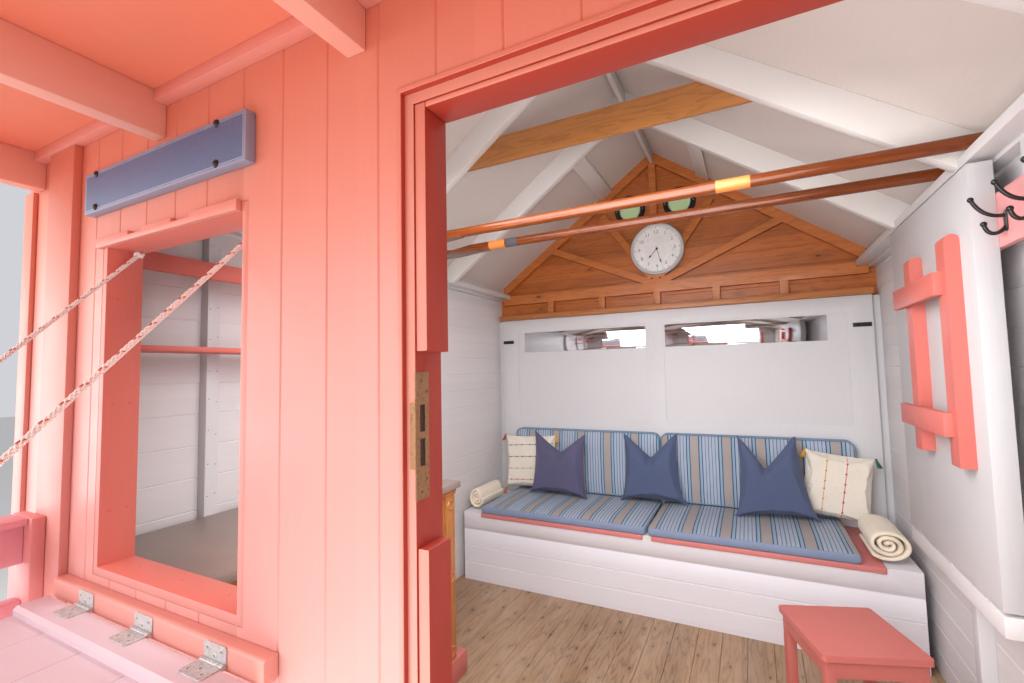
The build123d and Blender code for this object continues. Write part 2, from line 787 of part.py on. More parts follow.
def back_fittings():
    y = (panel_face_y, panel_face_y + back_panel_thickness)
    recess_y = y[0] + panel_recess
    panel = block((-room_x, room_x), y, (bench_height, back_panel_top))
    field_z = (bench_height + panel_field_bottom, back_panel_top - panel_top_rail)
    for x in panel_fields:
        panel -= block(x, (y[0] - 1, recess_y), field_z)
    save("back_panels", panel)
    mirror_bottom = back_panel_top - mirror_drop
    mirrors = []
    for x in (left_mirror_x, right_mirror_x):
        mirrors.append(block((x, x + mirror_width), (recess_y - mirror_thickness, recess_y),
                             (mirror_bottom, mirror_bottom + mirror_height)))
    save("mirror_strips", *mirrors)
    bolt_x = -room_x + bolt_inset
    bolt_bottom = back_panel_top - bolt_drop
    bolt = block((bolt_x, bolt_x + bolt_length), (y[0] - bolt_thickness, y[0]),
                 (bolt_bottom, bolt_bottom + bolt_height))
    save("panel_bolts", bolt, mirrored(bolt))

    shelf_top = back_panel_top + shelf_thickness
    front = y[0] - shelf_front
    shelf = block((-room_x, room_x), (front, inner_back_y), (back_panel_top, shelf_top))
    shelf += block((-room_x, room_x), (front, front + shelf_lip_thickness),
                   (shelf_top, shelf_top + shelf_lip_height))
    save("mug_shelf", shelf)


def back_gable():
    y = (inner_back_y - gable_timber_depth, inner_back_y)
    drop = gable_timber_width / cos(radians(roof_pitch))
    half = ridge_board_width / 2
    left = upright_panel([(-room_x, eaves_height - drop), (-half, ceiling_z(half) - drop),
                          (-half, ceiling_z(half)), (-room_x, eaves_height)], *y)
    frame = left + mirrored(left)
    chord_bottom = gable_foot_z - chord_height
    frame += block((-room_x, room_x), y, (chord_bottom, gable_foot_z + 1))
    shelf_top = back_panel_top + shelf_thickness
    for x in chord_uprights:
        across = (x - chord_upright_width / 2, x + chord_upright_width / 2)
        frame += block(across, y, (shelf_top, chord_bottom))
    king = king_post_width / 2
    frame += block((-king, king), y, (gable_foot_z, ridge_z - ridge_board_height))
    under_rafters = upright_panel([(-room_x, gable_foot_z), (room_x, gable_foot_z),
                                   (0, ridge_z - drop + 1)], *y)
    for foot_x, foot_rise, head_x, head_rise in struts:
        line = strip(foot_x, eaves_height + foot_rise, head_x, eaves_height + head_rise, strut_width)
        strut = upright_panel(line, *y) & under_rafters
        frame += strut + mirrored(strut)
    save("gable_frame", frame)
    rims = []
    for x in (-porthole_x, porthole_x):
        front_y = inner_back_y - porthole_proud
        rim = rod((x, hut_depth, porthole_z), (x, front_y, porthole_z), porthole_inner_radius)
        rim += rod((x, inner_back_y, porthole_z), (x, front_y, porthole_z), porthole_outer_radius)
        rims.append(rim)
    save("portholes", *rims)
    clock_front_y = y[0] - clock_thickness
    save("wall_clock", rod((clock_x, y[0], clock_z), (clock_x, clock_front_y, clock_z), clock_radius))


def folding_table():
    y = (table_front_y, table_front_y + table_length)
    x = (table_axis_x, table_axis_x + table_thickness)
    leaf = block(x, y, (table_axis_z + table_play, table_end_z))
    step = table_length / table_hinge_count
    barrel_x = table_axis_x + table_hinge_radius
    for i in range(table_hinge_count):
        start = y[0] + step * (i + 0.5) - table_hinge_length / 2
        leaf += rod((barrel_x, start, table_axis_z), (barrel_x, start + table_hinge_length, table_axis_z),
                    table_hinge_radius)
    save("table_leaf", leaf)
    cleat_top = table_axis_z - table_hinge_radius - fitting_gap
    save("table_cleat", block((table_axis_x, room_x), y, (cleat_top - table_cleat_height, cleat_top)))

    leg_x = (x[0] - table_leg_gap - table_leg_thickness, x[0] - table_leg_gap)
    pivot_z = table_end_z - table_leg_pivot_drop
    radius = table_leg_thickness / 2
    top = pivot_z + radius
    pivot_x = (leg_x[0] + leg_x[1]) / 2
    legs = Part()
    for offset in (0, table_leg_pitch):
        leg_y = (table_leg_front_y + offset, table_leg_front_y + offset + table_leg_width)
        legs += block(leg_x, leg_y, (top - table_leg_length, pivot_z))
        legs += rod((pivot_x, leg_y[0], pivot_z), (pivot_x, leg_y[1], pivot_z), radius)
    rail_x = (leg_x[0] - table_leg_rail_thickness, leg_x[0])
    rail_y = (table_leg_front_y + table_leg_rail_lap, leg_y[1] + table_leg_rail_tail)
    for drop in table_leg_rail_drops:
        legs += block(rail_x, rail_y, (top - drop - table_leg_rail_height, top - drop))
    save("table_legs", legs)


def coat_rail():
    y = (hook_rail_front_y, hook_rail_front_y + hook_rail_length)
    face = room_x - hook_rail_thickness
    z = (eaves_height - hook_rail_drop, eaves_height - hook_rail_drop + hook_rail_height)
    save("hook_rail", block((face, room_x), y, z))
    hooks = []
    middle = (z[0] + z[1]) / 2
    start = face - hook_plate_thickness + 1
    half_plate = hook_plate_width / 2
    for i in range(hook_count):
        hook_y = last_hook_y - i * hook_pitch
        hook = block((face - hook_plate_thickness, face), (hook_y - half_plate, hook_y + half_plate),
                     (middle - hook_plate_height / 2, middle + hook_plate_height / 2))
        for root_z, bend_x, bend_z, tip_x, tip_z in hook_arms:
            bend = (face - bend_x, hook_y, middle + bend_z)
            tip = (face - tip_x, hook_y, middle + tip_z)
            hook += rod((start, hook_y, middle + root_z), bend, hook_wire_radius)
            hook += rod(bend, tip, hook_wire_radius)
            hook += Pos(*bend) * Sphere(hook_wire_radius)
            hook += Pos(*tip) * Sphere(hook_ball_radius)
        hooks.append(hook)
    save("coat_hooks", *hooks)


def oars():
    """Two oars across the roof space, resting on the ledges of the wall plates, their blades on the left."""
    pair = []
    half_blade = oar_blade_width / 2
    half_tip = oar_tip_width / 2
    end = -room_x
    root = end + oar_blade_length
    neck = root - oar_neck_length
    z = plate_ledge_z + oar_radius
    for y in oar_rows:
        near = [(root + oar_neck_length, -oar_blade_thickness), (neck, -half_blade),
                (end + half_tip, -half_blade), (end, -half_tip)]
        outline = near + [(x, -across) for x, across in reversed(near)]
        blade = Pos(0, y, plate_ledge_z) * extrude(make_face(Polyline(*outline, close=True)),
                                                   amount=oar_blade_thickness)
        blade_middle = plate_ledge_z + oar_blade_thickness / 2
        slant = Plane(origin=(root, y, z), z_dir=(-2 * oar_neck_length, 0, blade_middle - z))
        taper = slant * Cone(oar_radius, oar_blade_thickness / 2, 2 * oar_neck_length,
                             align=(Align.CENTER, Align.CENTER, Align.MIN))
        pair.append(rod((root, y, z), (room_x, y, z), oar_radius) + blade + taper)
    save("oars", *pair)


def kitchen():
    y = (kitchen_front_y, kitchen_front_y + kitchen_length)
    x = (-room_x, -room_x + kitchen_width)
    foot = kitchen_plinth_height
    unit = block(x, y, (foot, kitchen_height))
    unit -= block((x[0] + board_thickness, x[1] - board_thickness),
                  (y[0] + board_thickness, y[1] - board_thickness),
                  (foot + board_thickness, kitchen_height - board_thickness))
    pilaster_x = (x[1], x[1] + kitchen_pilaster_proud)
    cap_bottom = kitchen_height - kitchen_cap_height
    for start in (y[0], y[1] - kitchen_pilaster_width):
        unit += block(pilaster_x, (start, start + kitchen_pilaster_width), (foot, cap_bottom))
    unit += block(pilaster_x, y, (cap_bottom, kitchen_height))
    inner_y = (y[0] + kitchen_pilaster_width, y[1] - kitchen_pilaster_width)
    door = (inner_y[1] - inner_y[0]) / kitchen_door_count
    margin = kitchen_door_margin
    for i in range(kitchen_door_count):
        start = inner_y[0] + i * door
        unit += block((x[1], x[1] + kitchen_door_proud), (start + margin, start + door - margin),
                      (foot + margin, cap_bottom - margin))
    save("kitchen_unit", unit)
    plinth_y = (y[0], y[1] + kitchen_plinth_run_on)
    save("kitchen_plinth", block((x[0], x[1] + kitchen_plinth_proud), plinth_y, (0, foot)))
    save("worktop", block((x[0], x[1] + worktop_front_overhang), (y[0], y[1] + worktop_end_overhang),
                          (kitchen_height, kitchen_height + worktop_thickness)))
    shelves = []
    front_x = -room_x + kitchen_shelf_depth
    for drop in kitchen_shelf_drops:
        top = eaves_height - drop + kitchen_shelf_thickness
        shelf = block((-room_x, front_x), y, (top - kitchen_shelf_thickness, top))
        if drop == min(kitchen_shelf_drops):
            fascia_x = (front_x - kitchen_shelf_thickness, front_x)
            shelf += block(fascia_x, y, (top - kitchen_shelf_fascia, top))
        shelves.append(shelf)
    save("kitchen_shelves", *shelves)


def side_table():
    half = side_table_size / 2
    under = side_table_height - side_table_top
    table = block((-half, half), (-half, half), (under, side_table_height))
    table = fillet(table.edges().filter_by(Axis.Z), side_table_round)
    near = half - side_table_inset
    far = near - side_table_leg
    for x in ((-near, -far), (far, near)):
        for y in ((-near, -far), (far, near)):
            table += block(x, y, (0, under))
    rail = side_table_leg / 2
    for side in (1, -1):
        across = tuple(sorted((side * near, side * (near - rail))))
        table += block((-near, near), across, (under - side_table_apron, under))
        table += block(across, (-near, near), (under - side_table_apron, under))
    save("side_table", Pos(side_table_x, side_table_y, 0) * Rot(0, 0, side_table_turn) * table)


os.makedirs("parts", exist_ok=True)
base()
body_walls()
wall_framing()
main_roof()
porch()
front_trim()
doorway()
hatch()
bench()
back_fittings()
back_gable()
folding_table()
coat_rail()
oars()
kitchen()
side_table()
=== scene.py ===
"""Looks of the beach hut, on the meshes and bodies of the CAD frame."""

import random
from math import atan2, ceil, cos, floor, pi, radians, sin

import bmesh
import bpy
from mathutils import Matrix, Vector
from mathutils.bvhtree import BVHTree

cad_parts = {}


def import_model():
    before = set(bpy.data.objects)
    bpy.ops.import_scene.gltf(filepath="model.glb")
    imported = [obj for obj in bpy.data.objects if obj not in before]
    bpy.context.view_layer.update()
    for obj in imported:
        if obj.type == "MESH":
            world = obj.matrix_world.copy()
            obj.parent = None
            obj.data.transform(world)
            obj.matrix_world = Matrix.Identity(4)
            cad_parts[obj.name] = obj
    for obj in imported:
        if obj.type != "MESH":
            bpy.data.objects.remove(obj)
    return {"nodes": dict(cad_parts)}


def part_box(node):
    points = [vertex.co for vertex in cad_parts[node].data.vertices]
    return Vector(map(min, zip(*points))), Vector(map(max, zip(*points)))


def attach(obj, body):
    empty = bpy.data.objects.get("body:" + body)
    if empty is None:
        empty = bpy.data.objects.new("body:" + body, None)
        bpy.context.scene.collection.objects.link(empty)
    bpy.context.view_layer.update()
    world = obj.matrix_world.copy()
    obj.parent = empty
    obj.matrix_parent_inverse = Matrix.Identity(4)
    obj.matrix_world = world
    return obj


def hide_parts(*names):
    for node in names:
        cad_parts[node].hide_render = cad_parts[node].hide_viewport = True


cad_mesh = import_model()["nodes"]
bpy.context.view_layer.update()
chance = random.Random(7)

# Levels and edges taken from the frame, in metres
floor_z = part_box("floor_boards")[1][2]
hatch_lining = 0.020
board_pitch = 0.12
wall_joint_depth = 0.0022
gable_board_pitch = 0.125
front_joint = 0.048
side_joint = floor_z + 0.10
bench_board_pitch = 0.1115
bench_first_joint = 0.119
flap_board_pitch = 0.17
flap_joint = -0.64
flap_rim_height = 0.020

# Doorway: the frame sits behind the ends of the wall boards
frame_lip = 0.009
frame_recess = 0.0105
stop_depth = 0.0595
stop_head_lift = 0.011

# Fittings
dome_foot = 0.0002
sign_line_inset = 0.0075
sign_line_width = 0.0016
sign_screw_left, sign_screw_right = 0.059, 0.094
sign_screw_low, sign_screw_high = 0.012, 0.008
keep_plate_width = 0.034
hinge_gauge = 0.0025
hinge_radius = 0.005
knuckle_count = 5
rope_turn = 0.034
rope_fleck_share = 0.32
rope_steps = 24
rope_knot_drum = (0.012, 0.016)
# Clock marks end at this share of the radius; hands: angle, share of the radius, width
mark_reach = 0.865
clock_hands = ((223, 0.46, 0.0058), (165, 0.60, 0.0042), (164, 0.88, 0.0016))
porthole_sleeve, porthole_glass = 0.0875, 0.078
bolt_gauge = 0.0025
hook_reach = 0.083
hook_ball = 0.0078
hook_arms = (((0, 0.016), (0.026, 0.012), (0.054, 0.026), (0.070, 0.070)),
             ((0, -0.016), (0.014, -0.040), (0.042, -0.042), (0.046, -0.004)))
oar_radius = 0.022
# Bands of each oar: where each starts and ends across the hut, and its finish
oar_bands = (((0.505, 0.618, 1),), ((-0.603, -0.510, 1), (-0.505, -0.440, 2)))
kitchen_cap = 0.030
kitchen_pilaster = 0.070


# Camera, light and ground

ground_reach = 30
camera_lens = 16.48
camera_place = (0.587, -0.584, floor_z + 1.441)
camera_yaw, camera_pitch, camera_roll = radians(26.82), radians(3.586), radians(-1.189)


def stand(name, data):
    """A new object in the scene."""
    thing = bpy.data.objects.new(name, data)
    bpy.context.scene.collection.objects.link(thing)
    return thing


def mesh_from(name, shape):
    """A mesh made of a bmesh, which is freed."""
    mesh = bpy.data.meshes.new(name)
    shape.to_mesh(mesh)
    shape.free()
    return mesh


def finished_mesh(thing):
    """A mesh of a thing with its modifiers worked in."""
    return bpy.data.meshes.new_from_object(thing.evaluated_get(bpy.context.evaluated_depsgraph_get()))


def facing(direction):
    """The turn that takes +Z to a direction."""
    return Vector(direction).to_track_quat("Z", "Y").to_matrix().to_4x4()


def corners(node):
    """The lowest and highest corners of a CAD node."""
    return [Vector(corner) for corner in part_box(node)]


def camera():
    """The camera as solved from the photograph."""
    level = Vector((cos(camera_yaw), sin(camera_yaw), 0))
    ahead = Vector((-sin(camera_yaw) * cos(camera_pitch), cos(camera_yaw) * cos(camera_pitch),
                    sin(camera_pitch)))
    above = level.cross(ahead)
    right = level * cos(camera_roll) + above * sin(camera_roll)
    top = above * cos(camera_roll) - level * sin(camera_roll)
    turn = Matrix((right, top, -ahead)).transposed()
    data = bpy.data.cameras.new("camera")
    data.lens = camera_lens
    data.clip_start = 0.02
    eye = stand("camera", data)
    eye.matrix_world = Matrix.Translation(camera_place) @ turn.to_4x4()
    bpy.context.scene.camera = eye


def softbox(name, place, target, width, height, watts, colour):
    """An area light at a place, aimed at a target and hidden from the camera."""
    data = bpy.data.lights.new(name, "AREA")
    data.shape = "RECTANGLE"
    data.size = width
    data.size_y = height
    data.energy = watts
    data.color = colour
    lamp = stand(name, data)
    aim = (Vector(target) - Vector(place)).to_track_quat("-Z", "Y")
    lamp.matrix_world = Matrix.Translation(place) @ aim.to_matrix().to_4x4()
    lamp.visible_camera = False


def studio():
    """A pale sky, two lights outside, one under the porch, two in the room, and the ground."""
    world = bpy.data.worlds.new("studio")
    world.use_nodes = True
    sky = world.node_tree.nodes["Background"]
    sky.inputs["Color"].default_value = (0.93, 0.95, 1.0, 1)
    sky.inputs["Strength"].default_value = 0.68
    bpy.context.scene.world = world
    bpy.context.scene.view_settings.view_transform = "Standard"
    cool = (0.97, 0.98, 1.0)
    softbox("key", (-2.6, -5.2, 3.4), (-0.4, 0, 1.3), 4.0, 3.0, 270, (1.0, 0.98, 0.96))
    softbox("open_side", (-4.2, -1.6, floor_z + 1.3), (-1.0, -0.2, floor_z + 1.1), 2.6, 2.2, 60,
            (1.0, 0.98, 0.98))
    softbox("deck_bounce", (-0.4, -1.15, 0.28), (-0.7, -0.5, 2.2), 2.0, 0.9, 34, (1.0, 0.96, 0.94))
    softbox("room_top", (0.0, 0.75, floor_z + 2.06), (0.0, 2.1, floor_z), 1.2, 0.9, 26, cool)
    softbox("room_front", (0.3, 0.30, floor_z + 1.5), (0.1, 2.9, floor_z + 1.0), 1.2, 1.2, 23, cool)
    ground = bmesh.new()
    bmesh.ops.create_grid(ground, x_segments=1, y_segments=1, size=ground_reach)
    mesh = mesh_from("ground", ground)
    mesh.materials.append(Finish("pale_ground").put(colour=hex_colour("dcdad8"), rough=0.9).material)
    stand("ground", mesh)


# Shader maths

class Socket:
    """A value in a node tree, used in Python arithmetic."""

    def __init__(self, finish, link):
        self.finish = finish
        self.link = link

    def math(self, operation, *values):
        """The result of a maths node on this value and others."""
        return self.finish.add("ShaderNodeMath", {"operation": operation}, self, *values)

    def __add__(self, other):
        return self.math("ADD", other)

    __radd__ = __add__

    def __mul__(self, other):
        return self.math("MULTIPLY", other)

    __rmul__ = __mul__

    def __sub__(self, other):
        return self.math("SUBTRACT", other)

    def __rsub__(self, other):
        return self.finish.add("ShaderNodeMath", {"operation": "SUBTRACT"}, other, self)

    def __truediv__(self, other):
        return self.math("DIVIDE", other)

    def __gt__(self, other):
        return self.math("GREATER_THAN", other)

    def __lt__(self, other):
        return self.math("LESS_THAN", other)

    def clamp(self):
        """The value kept between 0 and 1."""
        return self.finish.add("ShaderNodeClamp", None, self)


class Finish:
    """The node tree of one material."""

    def __init__(self, name):
        self.material = bpy.data.materials.new(name)
        self.material.use_nodes = True
        self.tree = self.material.node_tree
        self.surface = self.tree.nodes["Principled BSDF"]

    def plug(self, target, value):
        """Links or sets an input."""
        if isinstance(value, Socket):
            self.tree.links.new(value.link, target)
        elif isinstance(value, (tuple, list)) and len(value) == 3 and len(target.default_value) == 4:
            target.default_value = (*value, 1)
        else:
            target.default_value = value

    def add(self, kind, settings=None, *values, output=0, **named):
        """A new node with its inputs filled, by order or by name, and one of its outputs as a value."""
        node = self.tree.nodes.new(kind)
        for key, value in (settings or {}).items():
            setattr(node, key, value)
        for index, value in enumerate(values):
            self.plug(node.inputs[index], value)
        for key, value in named.items():
            self.plug(node.inputs[key.replace("_", " ")], value)
        return Socket(self, node.outputs[output])

    def place(self, stretch=(1, 1, 1)):
        """The place in the object, stretched by a factor on each axis."""
        at = self.add("ShaderNodeTexCoord", output="Object")
        return self.add("ShaderNodeVectorMath", {"operation": "MULTIPLY"}, at, stretch)

    def axis(self, letter):
        """The place along one axis, in metres."""
        return self.add("ShaderNodeSeparateXYZ", None, self.place(), output="XYZ".index(letter))

    def noise(self, stretch=(1, 1, 1), *, scale, detail=3.0, rough=0.5):
        """Cloudy noise between 0 and 1, drawn out along an axis with a low stretch."""
        return self.add("ShaderNodeTexNoise", None, Vector=self.place(stretch), Scale=scale, Detail=detail,
                        Roughness=rough)

    def random_step(self, value):
        """A random tone for each whole number that a value passes."""
        return self.add("ShaderNodeTexWhiteNoise", {"noise_dimensions": "1D"}, W=value.math("FLOOR"))

    def steps(self, value, stops):
        """Colours that change sharply at each stop."""
        node = self.tree.nodes.new("ShaderNodeValToRGB")
        ramp = node.color_ramp
        ramp.interpolation = "CONSTANT"
        while len(ramp.elements) < len(stops):
            ramp.elements.new(1)
        for element, (place, colour) in zip(ramp.elements, stops):
            element.position = place
            element.color = (*colour, 1)
        self.plug(node.inputs[0], value)
        return Socket(self, node.outputs[0])

    def fade(self, value, low, high):
        """0 below low, 1 above high, and even between."""
        return self.add("ShaderNodeMapRange", {"clamp": True}, value, low, high, 0.0, 1.0)

    def mix(self, factor, first, second):
        """The first colour at a factor of 0 and the second at 1."""
        node = self.tree.nodes.new("ShaderNodeMix")
        node.data_type = "RGBA"
        self.plug(node.inputs[0], factor)
        self.plug(node.inputs[6], first)
        self.plug(node.inputs[7], second)
        return Socket(self, node.outputs[2])

    def shade(self, colour, factor):
        """The colour made darker or lighter by a value."""
        return self.add("ShaderNodeVectorMath", {"operation": "SCALE"}, colour, Scale=factor)

    def bump(self, height, strength, distance):
        """A surface direction that shows a height."""
        return self.add("ShaderNodeBump", None, Strength=strength, Distance=distance, Height=height)

    def put(self, colour, rough=None, normal=None, metal=None, sheen=None, alpha=None):
        """Sets the surface's inputs and returns the finish."""
        for name, value in (("Base Color", colour), ("Roughness", rough), ("Normal", normal),
                            ("Metallic", metal), ("Sheen Weight", sheen), ("Alpha", alpha)):
            if value is not None:
                self.plug(self.surface.inputs[name], value)
        return self


def hex_colour(code):
    """A display colour as linear light."""
    values = [int(code[i:i + 2], 16) / 255 for i in (0, 2, 4)]
    return tuple(v / 12.92 if v <= 0.04045 else ((v + 0.055) / 1.055) ** 2.4 for v in values)


def darker(colour, factor):
    """A fixed colour made darker."""
    return tuple(value * factor for value in colour)


# Finishes

grain_stretch = {"X": (0.06, 1, 1), "Y": (1, 0.06, 1), "Z": (1, 1, 0.06)}


def painted(name, code, grain, eaves_shade_colour=None, cast=0.06, boards=None, gloss=0.38):
    """Brushed paint on timber: faint streaks along the grain, uneven tone and a little grime.

    The colour given after the grain is painted shade: a deeper colour blended in towards the top, where the
    porch roof and the eaves shade the wall. cast is the depth of the tone. boards is the letter of the axis
    across the boards, and their pitch."""
    paint = Finish(name)
    colour = hex_colour(code)
    # Painted shade: the paint deepens towards the top, where the porch roof and the eaves shade the wall.
    if eaves_shade_colour:
        height = paint.axis("Z") + paint.noise(scale=1.2) * 0.25
        shade_towards_top = paint.fade(height, floor_z + 1.45, floor_z + 2.15)
        colour = paint.mix(shade_towards_top, colour, hex_colour(eaves_shade_colour))
    cloud = paint.noise(scale=1.7, detail=4)
    streak = paint.noise(grain_stretch[grain], scale=130, detail=4, rough=0.6)
    fibre = paint.noise(grain_stretch[grain], scale=420, detail=2)
    tone = 1 - cast + cloud * cast * 1.4 + streak * 0.07
    if boards:
        letter, pitch = boards
        tone = tone + (paint.random_step(paint.axis(letter) / pitch) - 0.5) * 0.055
    specks = paint.fade(paint.noise(scale=60, detail=5, rough=0.7), 0.71, 0.76)
    base = paint.shade(colour, tone)
    base = paint.mix(specks * 0.35, base, darker(hex_colour(code), 0.55))
    height = streak * 0.6 + fibre * 0.25 + paint.noise(scale=35, detail=3) * 0.5
    return paint.put(colour=base, rough=gloss + paint.noise(scale=9) * 0.2,
                     normal=paint.bump(height, 0.28, 0.0008))


def bare_pine(name, code, grain, boards=None, gloss=0.34, knot_scale=7.0, contrast=1.0, knots_in="3D"):
    """Varnished pine with long grain, knots and a tone for each board.

    Knots in "2D" lie all over a level surface."""
    pine = Finish(name)
    colour = hex_colour(code)
    stretch = {"X": (0.10, 1, 1), "Y": (1, 0.10, 1), "Z": (1, 1, 0.10)}[grain]
    knot_stretch = {"X": (0.45, 1, 1), "Y": (1, 0.45, 1), "Z": (1, 1, 0.45)}[grain]
    knots = pine.add("ShaderNodeTexVoronoi", {"feature": "F1", "voronoi_dimensions": knots_in},
                     Vector=pine.place(knot_stretch), Scale=knot_scale, Randomness=1.0)
    warp = pine.noise(stretch, scale=9, detail=2)
    rings = (warp * 14 + pine.noise(stretch, scale=70, detail=4, rough=0.6) * 1.6).math("FRACT")
    line = pine.fade(rings, 0.55, 1.0)
    tone = 1.08 - line * 0.26 * contrast - pine.noise(stretch, scale=30, detail=3) * 0.16
    if boards:
        letter, pitch = boards
        tone = tone + (pine.random_step(pine.axis(letter) / pitch) - 0.5) * 0.26
    halo = 1 - pine.fade(knots, 0.05, 0.20)
    heart = 1 - pine.fade(knots, 0.035, 0.065)
    base = pine.shade(colour, tone)
    base = pine.mix(halo * 0.45, base, darker(colour, 0.55))
    base = pine.mix(heart * 0.85, base, darker(colour, 0.16))
    height = rings * 0.4 + pine.noise(stretch, scale=160, detail=3)
    return pine.put(colour=base, rough=gloss + pine.noise(scale=12) * 0.15,
                    normal=pine.bump(height, 0.2, 0.0006))


def worn_floor(name):
    """Old floor boards along the hut: brown, scuffed to grey, with dark gaps and knots."""
    boards = bare_pine(name, "a28163", "Y", ("X", board_pitch), 0.42, 8.5, 1.5, "2D")
    old = boards.surface.inputs["Base Color"].links[0].from_socket
    scuff = boards.fade(boards.noise((1, 0.25, 1), scale=9, detail=6, rough=0.65), 0.42, 0.72)
    return boards.put(colour=boards.mix(scuff * 0.5, Socket(boards, old), hex_colour("bba48f")))


def metal(name, code, rough, spots, bump=0.15, metalness=1.0):
    """Metal with clouded polish and dull spots."""
    coat = Finish(name)
    colour = hex_colour(code)
    cloud = coat.noise(scale=45, detail=5, rough=0.6)
    patch = coat.fade(coat.noise(scale=160, detail=4), 0.5, 0.62)
    base = coat.mix(patch * spots, coat.shade(colour, 0.85 + cloud * 0.3), darker(colour, 0.45))
    return coat.put(colour=base, rough=rough + cloud * 0.25, normal=coat.bump(cloud, bump, 0.0006),
                    metal=metalness)


def enamel(name, code, rough=0.3):
    """Smooth paint on small hard parts."""
    coat = Finish(name)
    cloud = coat.noise(scale=70, detail=4)
    return coat.put(colour=coat.shade(hex_colour(code), 0.925 + cloud * 0.15), rough=rough + cloud * 0.2,
                    normal=coat.bump(coat.noise(scale=220, detail=3), 0.15, 0.0005))


def woven(name, code, size=900.0, fuzz=0.12):
    """Plain cloth: a fine over and under weave with slubs and a soft nap."""
    cloth = Finish(name)
    warp = (cloth.axis("X") * size).math("SINE")
    weft = (cloth.axis("Z") * size).math("SINE")
    depth = (cloth.axis("Y") * size).math("SINE")
    weave = warp * weft + depth * 0.5
    slub = cloth.noise((1, 1, 0.12), scale=220, detail=3) + cloth.noise((0.12, 1, 1), scale=220, detail=3)
    tone = 0.86 + slub * 0.14 + cloth.noise(scale=7, detail=4) * 0.14 + weave * 0.04
    return cloth.put(colour=cloth.shade(hex_colour(code), tone), rough=0.85, sheen=fuzz,
                     normal=cloth.bump(weave * 0.4 + slub, 0.35, 0.0006))


stripe_period = 0.20
stripe_stops = ((0.0, "a9a09c"), (0.26, "2f4c76"), (0.29, "93b0c4"), (0.36, "2f4c76"), (0.39, "adb8c8"),
                (0.47, "4f6c92"), (0.49, "adb8c8"), (0.57, "4f6c92"), (0.59, "adb8c8"), (0.67, "4f6c92"),
                (0.69, "adb8c8"), (0.77, "4f6c92"), (0.79, "adb8c8"), (0.87, "2f4c76"), (0.90, "93b0c4"),
                (0.97, "2f4c76"))


def striped(name, tone=0.88, plain_before=None):
    """Ticking with blue, aqua, white and stone stripes, and a plain boxing strip in front of a place in Y."""
    cloth = Finish(name)
    across = cloth.axis("X") + cloth.noise(scale=4, detail=2) * 0.004
    period = (across / stripe_period + 10.0).math("FRACT")
    stops = [(place, hex_colour(code)) for place, code in stripe_stops]
    colour = cloth.steps(period, stops)
    if plain_before is not None:
        colour = cloth.mix(cloth.axis("Y") < plain_before, colour, hex_colour("8897b4"))
    weave = (cloth.axis("X") * 1400).math("SINE") * (cloth.axis("Z") * 1400).math("SINE")
    slub = cloth.noise((1, 1, 0.1), scale=260, detail=3)
    return cloth.put(colour=cloth.shade(colour, tone + slub * 0.16 + cloth.noise(scale=9) * 0.08), rough=0.85,
                     sheen=0.1, normal=cloth.bump(weave * 0.4 + slub, 0.3, 0.0005))


def roofing(name):
    """Green-grey mineral felt."""
    felt = Finish(name)
    grit = felt.noise(scale=900, detail=3)
    tone = 0.7 + grit * 0.5 + felt.noise(scale=3, detail=5) * 0.25
    return felt.put(colour=felt.shade(hex_colour("5d6463"), tone), rough=0.95,
                    normal=felt.bump(grit, 0.6, 0.0012))


def mirror_finish(name):
    """Silvered glass with a faint uneven polish."""
    glass = Finish(name)
    smear = glass.noise(scale=14, detail=4)
    return glass.put(colour=hex_colour("dfe4e8"), rough=0.02 + smear * 0.05, metal=1.0)


def clear_glass(name):
    """Pale green glass, partly see-through."""
    pane = Finish(name)
    return pane.put(colour=hex_colour("c3e08e"), rough=0.03 + pane.noise(scale=8) * 0.03, alpha=0.6)


def honed_stone(name):
    """Brown-grey stone with fine specks."""
    stone = Finish(name)
    speck = stone.fade(stone.noise(scale=420, detail=4, rough=0.7), 0.5, 0.62)
    cloud = stone.noise(scale=6, detail=5)
    base = stone.mix(speck * 0.6, stone.shade(hex_colour("9c8b82"), 0.8 + cloud * 0.4), hex_colour("6b5a55"))
    return stone.put(colour=base, rough=0.3 + cloud * 0.2, normal=stone.bump(speck, 0.1, 0.0004))


# Mesh helpers

def solid_of(node):
    """A clean copy of a CAD node's mesh, with its flat faces joined."""
    shape = bmesh.new()
    shape.from_mesh(cad_mesh[node].data)
    bmesh.ops.remove_doubles(shape, verts=shape.verts, dist=0.00002)
    bmesh.ops.dissolve_limit(shape, angle_limit=radians(1.5), verts=shape.verts, edges=shape.edges)
    return shape


def round_edges(shape, edges, width, segments, clamp=False):
    """Rounds the edges given."""
    bmesh.ops.bevel(shape, geom=edges, offset=width, offset_type="OFFSET", segments=segments, profile=0.5,
                    affect="EDGES", clamp_overlap=clamp, material=-1)


def soften(shape, width, segments=2, angle=25, spare=None):
    """Rounds the outer arrises, but none with an end that spare(place) picks out."""
    tight = {vert for edge in shape.edges if edge.calc_length() < width * 1.5 for vert in edge.verts}
    sharp = [edge for edge in shape.edges
             if len(edge.link_faces) == 2 and edge.is_convex and edge.calc_face_angle() > radians(angle)
             and tight.isdisjoint(edge.verts) and not (spare and any(spare(vert.co) for vert in edge.verts))]
    round_edges(shape, sharp, width, segments, True)


def slice_at(shape, axis, place, slack=1e-6):
    """Cuts every face along the plane at a place on an axis."""
    point, normal = [0, 0, 0], [0, 0, 0]
    point[axis] = place
    normal[axis] = 1
    bmesh.ops.bisect_plane(shape, geom=shape.verts[:] + shape.edges[:] + shape.faces[:], dist=slack,
                           plane_co=point, plane_no=normal)


